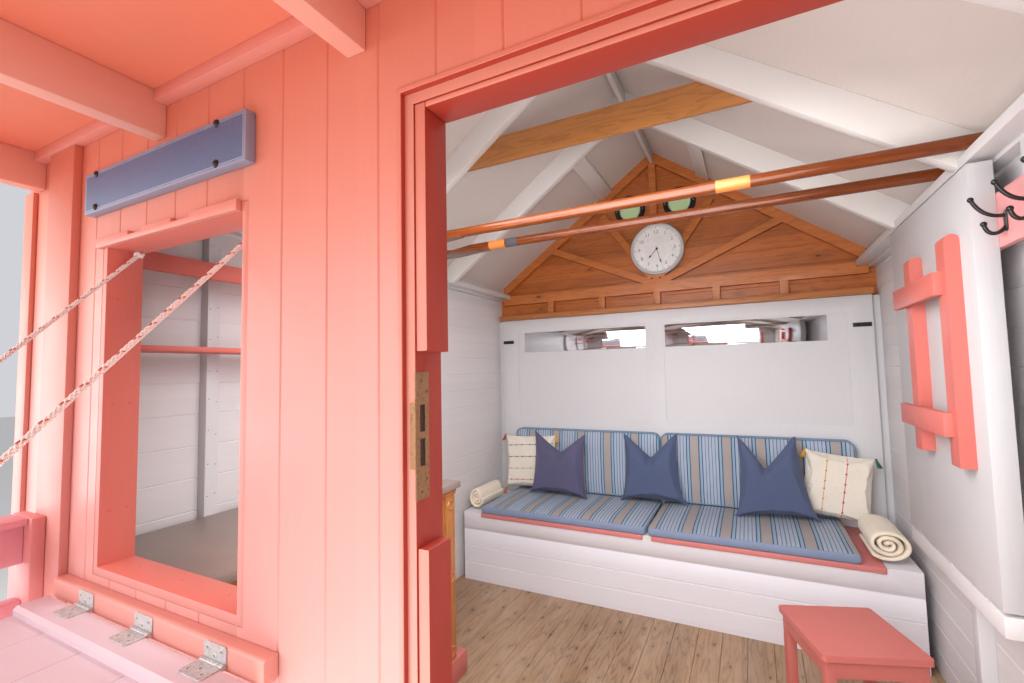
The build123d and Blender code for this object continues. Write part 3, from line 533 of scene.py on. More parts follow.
def groove(shape, letter, joints, face_letter, face_at, depth, half_width):
    """Cuts V joints across a flat face: depth is signed along the face's axis."""
    axis, face_axis = "XYZ".index(letter), "XYZ".index(face_letter)
    for joint in joints:
        for offset in (-half_width, 0, half_width):
            slice_at(shape, axis, joint + offset)
        for vert in shape.verts:
            if abs(vert.co[axis] - joint) < 2e-5 and abs(vert.co[face_axis] - face_at) < 1e-4:
                vert.co[face_axis] += depth


def joints_between(low, high, pitch, start):
    """The places of a row of joints that fall between two values."""
    first = ceil((low - start) / pitch + 0.12)
    last = floor((high - start) / pitch - 0.12)
    return [start + i * pitch for i in range(first, last + 1)]


def face_joints(shape, node, across, pitch, start, face, side, depth, half_width=0.003, inset=0.0):
    """Board joints on the low (0) or high (1) side of a node: inset is the face's distance from its box."""
    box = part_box(node)
    axis = "XYZ".index(across)
    inward = -1 if side else 1
    groove(shape, across, joints_between(box[0][axis], box[1][axis], pitch, start), face,
           box[side]["XYZ".index(face)] + inward * inset, inward * depth, half_width)


def paint_by_side(shape, pick):
    """Gives each face the material slot that pick(centre, normal) returns."""
    for face in shape.faces:
        face.material_index = pick(face.calc_center_median(), face.normal)


def paint_facing(shape, letter, sign, limit=0.5):
    """Gives material 1 to the faces that look along an axis, and 0 to the others."""
    axis = "XYZ".index(letter)
    paint_by_side(shape, lambda centre, normal: 1 if normal[axis] * sign > limit else 0)


def piece(name, shape, finishes, nodes=(), body="hut", smooth_angle=32, recalc=False):
    """Makes an object of a bmesh, in the row frame, riding on a body."""
    if recalc:
        bmesh.ops.recalc_face_normals(shape, faces=shape.faces)
    for face in shape.faces:
        face.smooth = True
    for edge in shape.edges:
        if len(edge.link_faces) == 2 and edge.calc_face_angle(0) > radians(smooth_angle):
            edge.smooth = False
    mesh = mesh_from(name, shape)
    for finish in finishes:
        mesh.materials.append(finish.material)
    thing = stand(name, mesh)
    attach(thing, body)
    if nodes:
        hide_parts(*nodes)
    return thing


def parts_of(node):
    """The boxes of a node's separate solids, ordered from left to right."""
    shape = solid_of(node)
    left = set(shape.verts)
    boxes = []
    while left:
        group = set()
        waiting = [left.pop()]
        while waiting:
            vert = waiting.pop()
            group.add(vert)
            for edge in vert.link_edges:
                other = edge.other_vert(vert)
                if other in left:
                    left.remove(other)
                    waiting.append(other)
        low = Vector([min(v.co[i] for v in group) for i in range(3)])
        high = Vector([max(v.co[i] for v in group) for i in range(3)])
        boxes.append((low, high))
    shape.free()
    return sorted(boxes, key=lambda box: (round(box[0].x, 3), round(box[0].y, 3)))


def add_box(shape, low, high):
    """A box between two corners."""
    size = Vector(high) - Vector(low)
    middle = (Vector(high) + Vector(low)) / 2
    bmesh.ops.create_cube(shape, size=1, matrix=Matrix.Translation(middle) @ Matrix.Diagonal((*size, 1)))


def add_rod(shape, start, end, radius, radius_end=None, sides=16):
    """A round bar between two points, straight or tapered."""
    start, end = Vector(start), Vector(end)
    bmesh.ops.create_cone(shape, cap_ends=True, segments=sides, radius1=radius, radius2=radius_end or radius,
                          depth=(end - start).length,
                          matrix=Matrix.Translation((start + end) / 2) @ facing(end - start))


def add_tube(shape, points, radius, sides, closed=False):
    """A round tube along points, by extruding a ring from one to the next."""
    points = [Vector(p) for p in points]
    count = len(points)
    rings = []
    for i, point in enumerate(points):
        ahead = points[(i + 1) % count] if closed or i < count - 1 else point
        behind = points[i - 1] if closed or i > 0 else point
        made = bmesh.ops.create_circle(shape, cap_ends=False, segments=sides, radius=radius,
                                       matrix=Matrix.Translation(point) @ facing(ahead - behind))
        rings.append(made["verts"])
    pairs = list(zip(rings, rings[1:])) + ([(rings[-1], rings[0])] if closed else [])
    for first, second in pairs:
        edges = [e for e in {edge for v in first + second for edge in v.link_edges}
                 if any(e.verts[0] in ring and e.verts[1] in ring for ring in (first, second))]
        bmesh.ops.bridge_loops(shape, edges=edges)
    if not closed:
        for ring in (rings[0], rings[-1]):
            bmesh.ops.contextual_create(shape, geom=ring)


def add_dome(shape, at, normal, radius, height, sides=16):
    """A round screw head standing on a face."""
    place = Matrix.Translation(at) @ facing(normal)
    made = bmesh.ops.create_uvsphere(shape, u_segments=sides, v_segments=8, radius=1,
                                     matrix=place @ Matrix.Diagonal((radius, radius, height, 1)))
    for vert in made["verts"]:
        local = place.inverted() @ vert.co
        if local.z < -dome_foot:
            local.z = -dome_foot
            vert.co = place @ local


def add_mesh(shape, other):
    """Joins one bmesh to another and frees it."""
    mesh = mesh_from("joined", other)
    shape.from_mesh(mesh)
    bpy.data.meshes.remove(mesh)


# Timber with rounded arrises

# Paints of the plain timber: colour, grain, painted shade colour towards the top under the eaves, depth of
# the tone
timber_paints = {
    "coral_paint": ("e79a8b", "X"), "coral_paint_upright": ("dfa097", "Z", "de8a72"),
    "board_end_paint": ("e5a093", "Z", "e08a70"), "door_frame_paint": ("e3a091", "Z", "e2917a"),
    "doorway_shade_paint": ("b84433", "Z"), "lining_shade_paint": ("e07e70", "Z"),
    # The hinge board's paint is the coral trim made paler: a painted highlight.
    "hinge_board_glare_paint": ("eaaba0", "X"), "leg_paint": ("c9695f", "Z"),
    "pink_paint": ("e9aab6", "X"), "pink_paint_upright": ("e29a98", "Z"),
    "shelf_paint": ("dd6f63", "Y"), "table_paint": ("bf6a62", "X"), "lid_paint": ("cf7c78", "X"),
    "joist_paint": ("f3bcaa", "Y"), "white_paint": ("d2cfce", "Y", None, 0.04),
    "white_paint_upright": ("d2d1d3", "Z", None, 0.04), "leaf_paint": ("bfbdbe", "Z", None, 0.04),
    "rafter_paint": ("dad5d1", "Y", None, 0.04),
}
# Colour, grain and size of the knots
timber_pines = {
    "pine_frame": ("c06f33", "X", 5), "pine_shelf": ("b5713c", "X", 6), "pine_collar": ("b4763f", "X", 4)}

# Plain timber and sheet: node, finish, slot, width of the rounded arris
timber_plan = (
    ("hatch_head_trim", "coral_paint", "coral_trim", 0.002),
    ("hinge_board", "hinge_board_glare_paint", "coral_trim", 0.004),
    ("corner_boards", "coral_paint_upright", "coral_trim", 0.0025),
    ("bargeboards", "coral_paint", "coral_trim", 0.003),
    ("porch_joists", "joist_paint", "coral_trim", 0.003),
    ("porch_front_beam", "coral_paint", "coral_trim", 0.003),
    ("soffit_battens", "coral_paint", "coral_trim", 0.002),
    ("porch_posts", "pink_paint_upright", "pink_paint", 0.005),
    ("balustrades", "pink_paint", "pink_paint", 0.004),
    ("wall_studs", "white_paint_upright", "white_paint", 0.002),
    ("wall_plates", "white_paint", "white_paint", 0.002),
    ("ridge_board", "white_paint", "white_paint", 0.002),
    ("rafters", "rafter_paint", "white_paint", 0.002),
    ("purlins", "rafter_paint", "white_paint", 0.002),
    ("back_panels", "white_paint_upright", "white_paint", 0.002),
    ("collar_tie", "pine_collar", "pine", 0.002),
    ("mug_shelf", "pine_shelf", "pine", 0.002),
    ("hook_rail", "pink_paint_upright", "pink_paint", 0.003),
    ("kitchen_shelves", "shelf_paint", "pink_paint", 0.003),
    ("kitchen_plinth", "table_paint", "pink_paint", 0.003),
    ("side_table", "table_paint", "pink_paint", 0.003),
    ("table_cleat", "white_paint", "white_paint", 0.002),
    ("bench_lids", "lid_paint", "pink_paint", 0.003),
    ("floor_bearers", "treated_timber", "treated_timber", 0.003),
    ("worktop", "worktop_stone", "worktop_stone", 0.003),
    ("mirror_strips", "mirror_glass", "mirror_glass", 0.0008),
)


def timber_pieces():
    """Everything of plain timber, sheet and glass, and the leaf and legs of the table."""
    finish = {name: painted(name, *look) for name, look in timber_paints.items()}
    for name, (code, grain, knot_scale) in timber_pines.items():
        finish[name] = bare_pine(name, code, grain, knot_scale=knot_scale)
    finish["treated_timber"] = bare_pine("treated_timber", "7c6a4c", "Y", gloss=0.7)
    finish["worktop_stone"] = honed_stone("worktop_stone")
    finish["mirror_glass"] = mirror_finish("mirror_glass")
    for node, name, slot, width in timber_plan:
        shape = solid_of(node)
        soften(shape, width)
        piece(node + "_shaped", shape, [finish[name]], [node])
    shape = solid_of("gable_frame")
    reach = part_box("gable_frame")[1][0] - 0.003
    soften(shape, 0.002, spare=lambda place: abs(place.x) > reach)
    piece("gable_frame_shaped", shape, [finish["pine_frame"]], ["gable_frame"])
    doorway([finish[name] for name in ("board_end_paint", "door_frame_paint", "doorway_shade_paint")])
    shape = solid_of("hatch_frame")
    soften(shape, 0.002)
    # The faces that do not look to the front take a deeper coral: painted shade in the reveal of the hatch.
    paint_facing(shape, "Y", -1)
    lining = [finish["lining_shade_paint"], finish["coral_paint_upright"]]
    piece("hatch_frame_shaped", shape, lining, ["hatch_frame"])
    rail = bmesh.new()
    left, right = parts_of("bench_lids")
    add_box(rail, (left[1].x + 0.001, left[0].y + 0.010, left[0].z - 0.030),
            (right[0].x - 0.001, left[1].y - 0.010, left[1].z - 0.002))
    soften(rail, 0.002)
    piece("bench_lid_rail", rail, [finish["white_paint"]])
    for node, name, slot, body in (("table_leaf", "leaf_paint", "white_paint", "fold_down_table"),
                                   ("table_legs", "leg_paint", "pink_paint", "table_leg_frame")):
        shape = solid_of(node)
        soften(shape, 0.003)
        piece(node + "_shaped", shape, [finish[name]], [node], body)


def cut_away(shape, low, high):
    """The shape with a box taken out of it."""
    cutter = bmesh.new()
    add_box(cutter, low, high)
    whole, tool = [stand("part", mesh_from("part", part)) for part in (shape, cutter)]
    cut = whole.modifiers.new("cut", "BOOLEAN")
    cut.object = tool
    cut.operation = "DIFFERENCE"
    cut.solver = "EXACT"
    mesh = finished_mesh(whole)
    for thing in (whole, tool):
        bpy.data.objects.remove(thing)
    left = bmesh.new()
    left.from_mesh(mesh)
    bpy.data.meshes.remove(mesh)
    return left


def doorway(paints):
    """The door frame, set back behind the ends of the wall boards, and its stops."""
    low, high = corners("door_frame")
    stop_low, stop_high = corners("door_stops")
    shape = cut_away(solid_of("door_frame"), (low.x + frame_lip, low.y - 0.01, stop_low.z),
                     (stop_high.x - 0.002, low.y + frame_recess, high.z - frame_lip))
    front = low.y + frame_recess
    soften(shape, 0.0015)
    # Faces of the lip take the board end paint, faces that look to the front take the frame paint, and all
    # the others take the deep coral: painted shade inside the doorway.
    paint_by_side(shape, lambda centre, normal: 0 if centre.y < low.y + 0.001
                  else 1 if normal.y < -0.5 and centre.y < front + 0.002 else 2)
    piece("door_frame_shaped", shape, paints, ["door_frame"])
    shape = solid_of("door_stops")
    head_under = stop_high.z - 0.021
    stop_front, stretch = front + 0.004, stop_depth / (stop_high.y - stop_low.y)
    for vert in shape.verts:
        if abs(vert.co.z - head_under) < 0.002:
            vert.co.z += stop_head_lift
        vert.co.y = stop_front + (vert.co.y - stop_low.y) * stretch
    soften(shape, 0.002)
    # The sides of the stops take the deep coral: painted shade.
    paint_by_side(shape, lambda centre, normal: 1 if normal.y < -0.5 else 2)
    piece("door_stops_shaped", shape, paints, ["door_stops"])


# Boarded faces

def boarded():
    """The walls, floor, deck, bench front, roof, door leaf and hatch flap, with their board joints."""
    # Coral boards: the base colour is paled partly as a painted highlight for the sheen of the paint, and the
    # third colour is painted shade towards the top, under the eaves.
    outside = painted("coral_boards", "e3a9a1", "Z", "e08a70", boards=("X", board_pitch), gloss=0.32)
    side_outside = painted("coral_side_boards", "e3a9a1", "Y", "e08a70", boards=("Z", board_pitch))
    inside = painted("white_boards", "d9d5d5", "Y", None, 0.04, ("Z", board_pitch))
    front_inside = painted("white_front_boards", "d9d5d5", "Z", None, 0.04)
    gable_pine = bare_pine("gable_pine", "b5652c", "X", ("Z", gable_board_pitch))
    for node in ("front_wall", "hatch_wall", "front_gable"):
        shape = solid_of(node)
        face_joints(shape, node, "X", board_pitch, front_joint, "Y", 0, wall_joint_depth)
        paint_facing(shape, "Y", 1)
        piece(node + "_boards", shape, [outside, front_inside], [node])
    for node, sides, inward in (("left_wall", (0, 1), 1), ("right_wall", (1, 0), -1)):
        shape = solid_of(node)
        for side in sides:
            face_joints(shape, node, "Z", board_pitch, side_joint, "X", side, wall_joint_depth)
        paint_facing(shape, "X", inward)
        piece(node + "_boards", shape, [side_outside, inside], [node])
    shape = solid_of("back_wall")
    for side in (0, 1):
        face_joints(shape, "back_wall", "Z", gable_board_pitch, side_joint, "Y", side, wall_joint_depth)
    paint_facing(shape, "Y", -1, 0.3)
    piece("back_wall_boards", shape, [side_outside, gable_pine], ["back_wall"])

    deck = bare_pine("deck_timber", "a09280", "Y", ("X", board_pitch), gloss=0.6)
    for node, slot, finish, first, depth, half_width in (
            ("floor_boards", "floor_timber", worn_floor("floor_timber"), 0.03, 0.004, 0.0018),
            ("deck_boards", "deck_timber", deck, 0.06, 0.008, 0.003)):
        shape = solid_of(node)
        face_joints(shape, node, "X", board_pitch, first, "Z", 1, depth, half_width)
        piece(node + "_laid", shape, [finish], [node])

    shape = solid_of("bench_box")
    face_joints(shape, "bench_box", "Z", bench_board_pitch, floor_z + bench_first_joint, "Y", 0, 0.005, 0.004)
    bench_white = painted("bench_paint", "dfdde3", "X", None, 0.04, ("Z", bench_board_pitch))
    piece("bench_box_boards", shape, [bench_white], ["bench_box"])

    felt = roofing("roof_felt")
    ceiling = painted("ceiling_paint", "d0c6bf", "Y", None, 0.04)
    soffit = painted("soffit_paint", "ec8f72", "Y")
    for node, under, up_limit in (("roof_left", ceiling, -0.3), ("roof_right", ceiling, -0.3),
                                  ("porch_roof", soffit, 0.3)):
        shape = solid_of(node)
        paint_by_side(shape, lambda centre, normal: 0 if normal.z > up_limit else 1)
        piece(node + "_sheets", shape, [felt, under], [node])

    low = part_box("door_leaf")[0]
    shape = solid_of("door_leaf")
    face_joints(shape, "door_leaf", "Y", board_pitch, low[1] + 0.05, "X", 1, 0.003)
    paint_by_side(shape, lambda centre, normal: 1 if normal.x < -0.3 or centre.x < low[0] + 0.019 else 0)
    leaf_paints = [painted("door_paint", "e3a9a1", "Z"), painted("door_inner_paint", "dcd8d6", "Z")]
    piece("door_leaf_boards", shape, leaf_paints, ["door_leaf"])

    shape = solid_of("hatch_flap")
    face_joints(shape, "hatch_flap", "X", flap_board_pitch, flap_joint, "Z", 1, 0.004, 0.0015,
                flap_rim_height)
    soften(shape, 0.002)
    piece("hatch_flap_boards", shape, [painted("flap_paint", "e2d6df", "X")], ["hatch_flap"])


# Soft goods

fill_frames = 20
pad_rounding = 0.045
piping_radius = 0.0045
thread_radius = 0.0016
tassel_length = 0.055


def box_grid(low, high, cuts):
    """A closed box of even squares."""
    shape = bmesh.new()
    add_box(shape, low, high)
    for axis, count in enumerate(cuts):
        for i in range(1, count):
            slice_at(shape, axis, low[axis] + (high[axis] - low[axis]) * i / count, 1e-7)
    return shape


def pillow(width, height, thickness, pull, chop, chop_at, ears, top_narrow):
    """A scatter cushion standing in the XZ plane on its lower edge, with drawn-in sides and pointed corners.

    pull is how far the sides draw in, chop the depth of the dent in the top edge, chop_at its place across,
    ears how far the corners stand out, and top_narrow how much the top is narrower."""
    shape = box_grid((-1, -1, -1), (1, 1, 1), (26, 2, 26))
    for vert in shape.verts:
        u, side, v = vert.co
        edge_u, edge_v = 1 - abs(u) ** 3.2, 1 - abs(v) ** 3.2
        crown = max(edge_u * edge_v, 0) ** 0.55
        across = u * (1 - pull * (1 - v * v) - top_narrow * (v + 1) / 2)
        up = v * (1 - pull * (1 - u * u))
        point = 1 + ears * (abs(u) * abs(v)) ** 5
        x = width / 2 * across * point
        z = height / 2 * up * point
        high = max((v + 1) / 2, 0)
        from_chop = abs(u - chop_at) / (1 - chop_at if u > chop_at else 1 + chop_at)
        z -= chop * (1 - from_chop ** 0.9) * high ** 3.0
        y = side * (thickness / 2 * crown + 0.004)
        if chop:
            crease = 2.718 ** (-((u - chop_at) / 0.16) ** 2) * high ** 4
            y = y * (1 - 0.55 * crease) + chop * 0.10 * crease
        vert.co = (x, y, z + height / 2)
    return shape


def remeshed(shape, name, voxel):
    """The same form as one even skin."""
    thing = stand(name, mesh_from(name, shape))
    remesh = thing.modifiers.new("even", "REMESH")
    remesh.mode = "VOXEL"
    remesh.voxel_size = voxel
    remesh.use_smooth_shade = True
    even = finished_mesh(thing)
    thing.modifiers.clear()
    thing.data = even
    return thing


def subdivide(thing):
    """Adds one level of smoothing."""
    smooth = thing.modifiers.new("smooth", "SUBSURF")
    smooth.levels = 1
    smooth.render_levels = 1


def blow_up(jobs):
    """Fills the padded pieces by a short cloth simulation, and returns where each one's points end."""
    for thing, job in jobs.items():
        cloth = thing.modifiers.new("fill", "CLOTH")
        settings = cloth.settings
        settings.quality = 4
        settings.mass = 0.25
        settings.tension_stiffness = job["stiff"]
        settings.compression_stiffness = job["stiff"]
        settings.shear_stiffness = 6
        settings.bending_stiffness = 0.4
        settings.use_pressure = True
        settings.uniform_pressure_force = job["pressure"]
        settings.effector_weights.gravity = 0
        cloth.point_cache.frame_start = 1
        cloth.point_cache.frame_end = fill_frames
        if "held" in job:
            group = thing.vertex_groups.new(name="seams")
            group.add([vert.index for vert in thing.data.vertices if job["held"](vert.co)], 1.0, "REPLACE")
            settings.vertex_group_mass = "seams"
    for number in range(1, fill_frames + 1):
        bpy.context.scene.frame_set(number)
    graph = bpy.context.evaluated_depsgraph_get()
    ends = {thing: [v.co.copy() for v in thing.evaluated_get(graph).data.vertices] for thing in jobs}
    bpy.context.scene.frame_set(1)
    for thing in jobs:
        thing.modifiers.clear()
        thing.vertex_groups.clear()
    return ends


def swell(jobs):
    """Fills all the padded pieces at once, and keeps each one's travel and place within its limits."""
    ends = blow_up(jobs)
    for thing, job in jobs.items():
        for vert, end in zip(thing.data.vertices, ends.get(thing, ())):
            travel = end - vert.co
            if travel.length > 1e-9:
                travel *= min(1.0, job["cap"] / travel.length)
            vert.co += travel
        low, high = job["box"]
        for vert in thing.data.vertices:
            vert.co = [min(max(vert.co[i], low[i]), high[i]) for i in range(3)]
        subdivide(thing)


def dress(thing, finish, node):
    """Finishes a padded piece and puts it in a node's place."""
    for face in thing.data.polygons:
        face.use_smooth = True
    thing.data.materials.clear()
    thing.data.materials.append(finish.material)
    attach(thing, "hut")
    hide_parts(node)


def corner_distance(across, up, low, high, radius):
    """Distance of a point from a rectangle's outline with rounded corners: negative inside."""
    middle = ((low[0] + high[0]) / 2, (low[1] + high[1]) / 2)
    half = ((high[0] - low[0]) / 2, (high[1] - low[1]) / 2)
    qx = abs(across - middle[0]) - half[0] + radius
    qz = abs(up - middle[1]) - half[1] + radius
    return (max(qx, 0) ** 2 + max(qz, 0) ** 2) ** 0.5 + min(max(qx, qz), 0) - radius


def rounded_outline(low, high, foot_radius, top_radius):
    """Points round a rectangle from its lower left corner, with an arc at each corner."""
    steps = 7
    points = []
    for x, z, start, radius in ((low[0], low[1], pi, foot_radius), (high[0], low[1], 1.5 * pi, foot_radius),
                                (high[0], high[1], 0, top_radius), (low[0], high[1], 0.5 * pi, top_radius)):
        middle_x = x + radius if x == low[0] else x - radius
        middle_z = z + radius if z == low[1] else z - radius
        for i in range(steps + 1):
            angle = start + i / steps * pi / 2
            points.append((middle_x + radius * cos(angle), middle_z + radius * sin(angle)))
    return points


def pads():
    """Two seat pads and two back pads of boxed foam, and their piping."""
    # The seat ticking is the back's ticking darkened from a tone of 0.88 to 0.72: painted shade on the seat
    # pads.
    seat_cloth = striped("shaded_seat_ticking", 0.72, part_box("seat_pads")[0][1] + 0.016)
    back_cloth = striped("back_ticking")
    piping_cloth = woven("blue_piping", "6f89a0")
    jobs, dressed = {}, []
    for low, high in parts_of("seat_pads"):
        shape = box_grid(low + Vector((0.004, 0.006, 0)), high - Vector((0.004, 0.004, 0.012)), (1, 1, 1))
        soften(shape, 0.010, 3)
        thing = remeshed(shape, "seat_pad_" + ("left" if low.x < 0 else "right"), 0.011)
        jobs[thing] = {
            "cap": 0.013, "pressure": 3.5, "stiff": 8,
            "box": (low - Vector((0.003, 0.006, 0)), high + Vector((0.001, 0, 0.006))),
            "held": lambda co, a=low.copy(), b=high.copy(): co.z < a.z + 0.002 or (
                (co.z < a.z + 0.010 or co.z > b.z - 0.022)
                and corner_distance(co.x, co.y, a.xy, b.xy, 0.02) > -0.014)}
        dressed.append((thing, seat_cloth, "striped_fabric", "seat_pads", 0.9))
    lines = bmesh.new()
    for low, high in parts_of("back_pads"):
        shape = bmesh.new()
        add_box(shape, low + Vector((0.004, 0.012, 0)), high - Vector((0.004, 0.0, 0.004)))
        top_edges = [e for e in shape.edges if all(v.co.z > high.z - 0.02 for v in e.verts)
                     and abs(e.verts[0].co.x - e.verts[1].co.x) < 0.001]
        round_edges(shape, top_edges, pad_rounding, 6)
        thing = remeshed(shape, "back_pad_" + ("left" if low.x < 0 else "right"), 0.010)
        jobs[thing] = {
            "cap": 0.014, "pressure": 3.5, "stiff": 8,
            "box": (low - Vector((0.003, 0.004, 0)), high + Vector((0.003, 0, 0.004))),
            "held": lambda co, a=low.copy(), b=high.copy(): corner_distance(
                co.x, co.z, (a.x, a.z), (b.x, b.z), pad_rounding) > -0.012 or co.y > b.y - 0.006}
        dressed.append((thing, back_cloth, "striped_fabric", "back_pads", 0.9))
        outline = rounded_outline((low.x + piping_radius, low.z + piping_radius),
                                  (high.x - piping_radius, high.z - piping_radius), 0.004, pad_rounding)
        for y in (low.y + 0.013, high.y - 0.012):
            add_tube(lines, [(x, y, z) for x, z in outline], piping_radius, 8, True)
    piece("back_pad_piping", lines, [piping_cloth], recalc=True)
    return jobs, dressed


# Scatter cushions: name, cloth, middle of the lower edge, size, chop depth and place, roll, lean, top taper
cushion_plan = (
    ("navy_left", "navy", (-0.705, -0.012), (0.46, 0.46), 0.100, 0.05, 1.5, 5, 0.05),
    ("navy_middle", "navy", (-0.045, -0.010), (0.455, 0.47), 0.125, 0.0, -2.0, 6, 0.12),
    ("navy_right", "navy", (0.685, -0.018), (0.47, 0.50), 0.165, -0.15, -4.0, 6, 0.24),
    ("cream_left", "cream", (-0.965, 0.0), (0.47, 0.44), 0.0, 0.0, -1.5, 3, 0.0),
    ("cream_right", "cream", (0.985, 0.0), (0.40, 0.42), 0.0, 0.0, 7.0, 3, 0.04),
)


def cushions():
    """The five scatter cushions, each where it leans in the photograph."""
    cloths = {
        "navy": woven("navy_cloth", "4a5675"),
        "violet": woven("violet_navy_cloth", "545270"),
        "cream": woven("cream_cloth", "e3dbcd", fuzz=0.05),
    }
    boxes = parts_of("scatter_cushions")
    seat_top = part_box("seat_pads")[1][2]
    jobs, dressed = {}, []
    for name, cloth, (x, forward), size, chop, chop_at, roll, lean, taper in cushion_plan:
        low, high = min(boxes, key=lambda b: abs((b[0].x + b[1].x) / 2 - x)
                        + (0 if (b[1].y - b[0].y > 0.09) == (cloth == "navy") else 9))
        middle_y = (low.y + high.y) / 2
        thickness = 0.062 if cloth == "cream" else 0.085
        pull, ears = (0.06, 0.05) if chop else (0.03, 0.0)
        shape = pillow(*size, thickness, pull, chop, chop_at, ears, taper)
        for matrix in (Matrix.Rotation(radians(-lean), 4, "X"), Matrix.Rotation(radians(roll), 4, "Y"),
                       Matrix.Translation((x, middle_y + forward - 0.02, seat_top - 0.004))):
            bmesh.ops.transform(shape, matrix=matrix, verts=shape.verts)
        thing = remeshed(shape, name, 0.0075)
        jobs[thing] = {"cap": 0.024, "pressure": 4, "stiff": 14,
                       "box": (low - Vector((0.03, 0.012, -0.0005)), high + Vector((0.03, 0.008, 0.03)))}
        finish = cloths["violet" if name == "navy_left" else cloth]
        slot = "navy_fabric" if cloth == "navy" else "cream_fabric"
        dressed.append((thing, finish, slot, "scatter_cushions", 0.6))
    return jobs, dressed


def skin_of(thing):
    """A thing's surface, for finding places on it."""
    mesh = thing.data
    return BVHTree.FromPolygons([v.co for v in mesh.vertices], [p.vertices for p in mesh.polygons])


def stitched(shape, tree, start, end, knots):
    """A thread with knots, laid on the front of a cushion between two points given in X and Z."""
    path = []
    for i in range(25):
        t = i / 24
        x, z = start[0] + (end[0] - start[0]) * t, start[1] + (end[1] - start[1]) * t
        hit = tree.ray_cast(Vector((x, 1.5, z)), Vector((0, 1, 0)))[0]
        if hit:
            path.append(hit - Vector((0, thread_radius * 0.6, 0)))
    if len(path) < 3:
        return
    add_tube(shape, path, thread_radius, 6)
    for i in range(knots):
        place = path[round((i + 0.5) / knots * (len(path) - 1))]
        bmesh.ops.create_icosphere(shape, subdivisions=2, radius=thread_radius * 3.4,
                                   matrix=Matrix.Translation(place))


def tassel(shape, top, direction):
    """A bound bundle of threads hanging from a corner."""
    hang = Vector(direction).normalized() * tassel_length
    add_rod(shape, top, top + hang * 0.25, 0.006, 0.007, 10)
    for i in range(14):
        angle = i * 2.4
        spread = Vector((cos(angle), sin(angle) * 0.7, 0)) * 0.013 * ((i % 5 + 2) / 6)
        add_rod(shape, top + hang * 0.2 + spread * 0.3, top + hang + spread, 0.003, 0.0022, 5)


stitch_colours = {"navy": "2f3a5c", "green": "2f5044", "tan": "c09a72", "red": "c23f46", "mustard": "cf9a3f",
                  "maroon": "a14a4c", "rust": "c4643c", "teal": "2d5a4e"}


def trimmings(cushion):
    """Knotted threads and corner tassels of the cream cushions."""
    shapes = {}

    def made(colour):
        """The threads of one colour."""
        return shapes.setdefault(colour, bmesh.new())

    left = skin_of(cushion["cream_left"])
    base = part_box("seat_pads")[1][2]
    for colour, up in (("navy", 0.345), ("green", 0.255), ("tan", 0.165), ("red", 0.08)):
        stitched(made(colour), left, (-1.155, base + up - 0.01), (-0.76, base + up + 0.018), 7)
    right = skin_of(cushion["cream_right"])
    for colour, x in (("mustard", 0.93), ("red", 1.03)):
        stitched(made(colour), right, (x + 0.040, base + 0.385), (x - 0.012, base + 0.03), 6)
    for name, tassels in (("cream_left", (("maroon", -1, 1), ("mustard", 1, 1), ("rust", -1, -1))),
                          ("cream_right", (("mustard", -1, 1), ("teal", 1, 1)))):
        points = [v.co for v in cushion[name].data.vertices]
        for colour, side, up in tassels:
            tip = max(points, key=lambda p: side * p.x + up * p.z)
            tassel(made(colour), tip - Vector((side * 0.006, 0.004, 0)), (side * 0.35, -0.25, -1))
    for colour, shape in shapes.items():
        thread = woven(colour + "_thread", stitch_colours[colour])
        piece(colour + "_threads", shape, [thread], recalc=True)


def blanket_roll(name, low, high, turns, lean):
    """A blanket rolled along Y: a spiral sheet, thickened, in an oval section."""
    shape = bmesh.new()
    middle = (Vector(low) + Vector(high)) / 2
    half = (Vector(high) - Vector(low)) / 2
    thick = half.z / (turns + 0.6) * 0.92
    steps = 26
    ring = []
    for i in range(int(turns * steps) + 1):
        angle = i / steps * 2 * pi
        grow = (0.35 + i / steps) / (turns + 0.35) * (1 - thick / half.z / 2)
        wobble = 1 + 0.03 * sin(angle * 2.3 + lean)
        x = middle.x + half.x * grow * cos(angle * lean - 1.2) * wobble
        z = middle.z + half.z * grow * sin(angle * lean - 1.2) * wobble
        end = 0.004 * sin(angle * 1.7) + 0.010 * (1 - grow)
        ring.append(shape.verts.new((x, low[1] + end + 0.012, z)))
    for first, second in zip(ring, ring[1:]):
        shape.edges.new((first, second))
    length = high[1] - low[1] - 0.03
    edges = shape.edges[:]
    for i in range(8):
        out = bmesh.ops.extrude_edge_only(shape, edges=edges)["geom"]
        edges = [g for g in out if isinstance(g, bmesh.types.BMEdge)]
        verts = [g for g in out if isinstance(g, bmesh.types.BMVert)]
        bmesh.ops.translate(shape, vec=(0, length / 8, 0), verts=verts)
    bmesh.ops.recalc_face_normals(shape, faces=shape.faces)
    bmesh.ops.solidify(shape, geom=shape.faces[:], thickness=thick * 0.9)
    bmesh.ops.recalc_face_normals(shape, faces=shape.faces)
    thing = stand(name, mesh_from(name, shape))
    subdivide(thing)
    return thing


def blankets():
    """The two blanket rolls, one wound each way."""
    cloth = woven("blanket_cloth", "e2d7c4", fuzz=0.15)
    for (low, high), side in zip(parts_of("blanket_rolls"), (1, -1)):
        thing = blanket_roll("blanket_" + ("left" if side > 0 else "right"), low, high, 3.2, side)
        dress(thing, cloth, "blanket_rolls")


def soft_goods():
    """The pads and cushions, filled together, their trimmings and the blankets."""
    jobs, dressed = pads()
    more_jobs, more = cushions()
    jobs.update(more_jobs)
    swell(jobs)
    named = {}
    for thing, finish, slot, node, fill in dressed + more:
        dress(thing, finish, node)
        named[thing.name] = thing
    trimmings(named)
    blankets()


# Small fittings

def paint_new(shape, before, index):
    """Gives the faces made since a set of faces was taken their material."""
    for face in set(shape.faces) - before:
        face.material_index = index


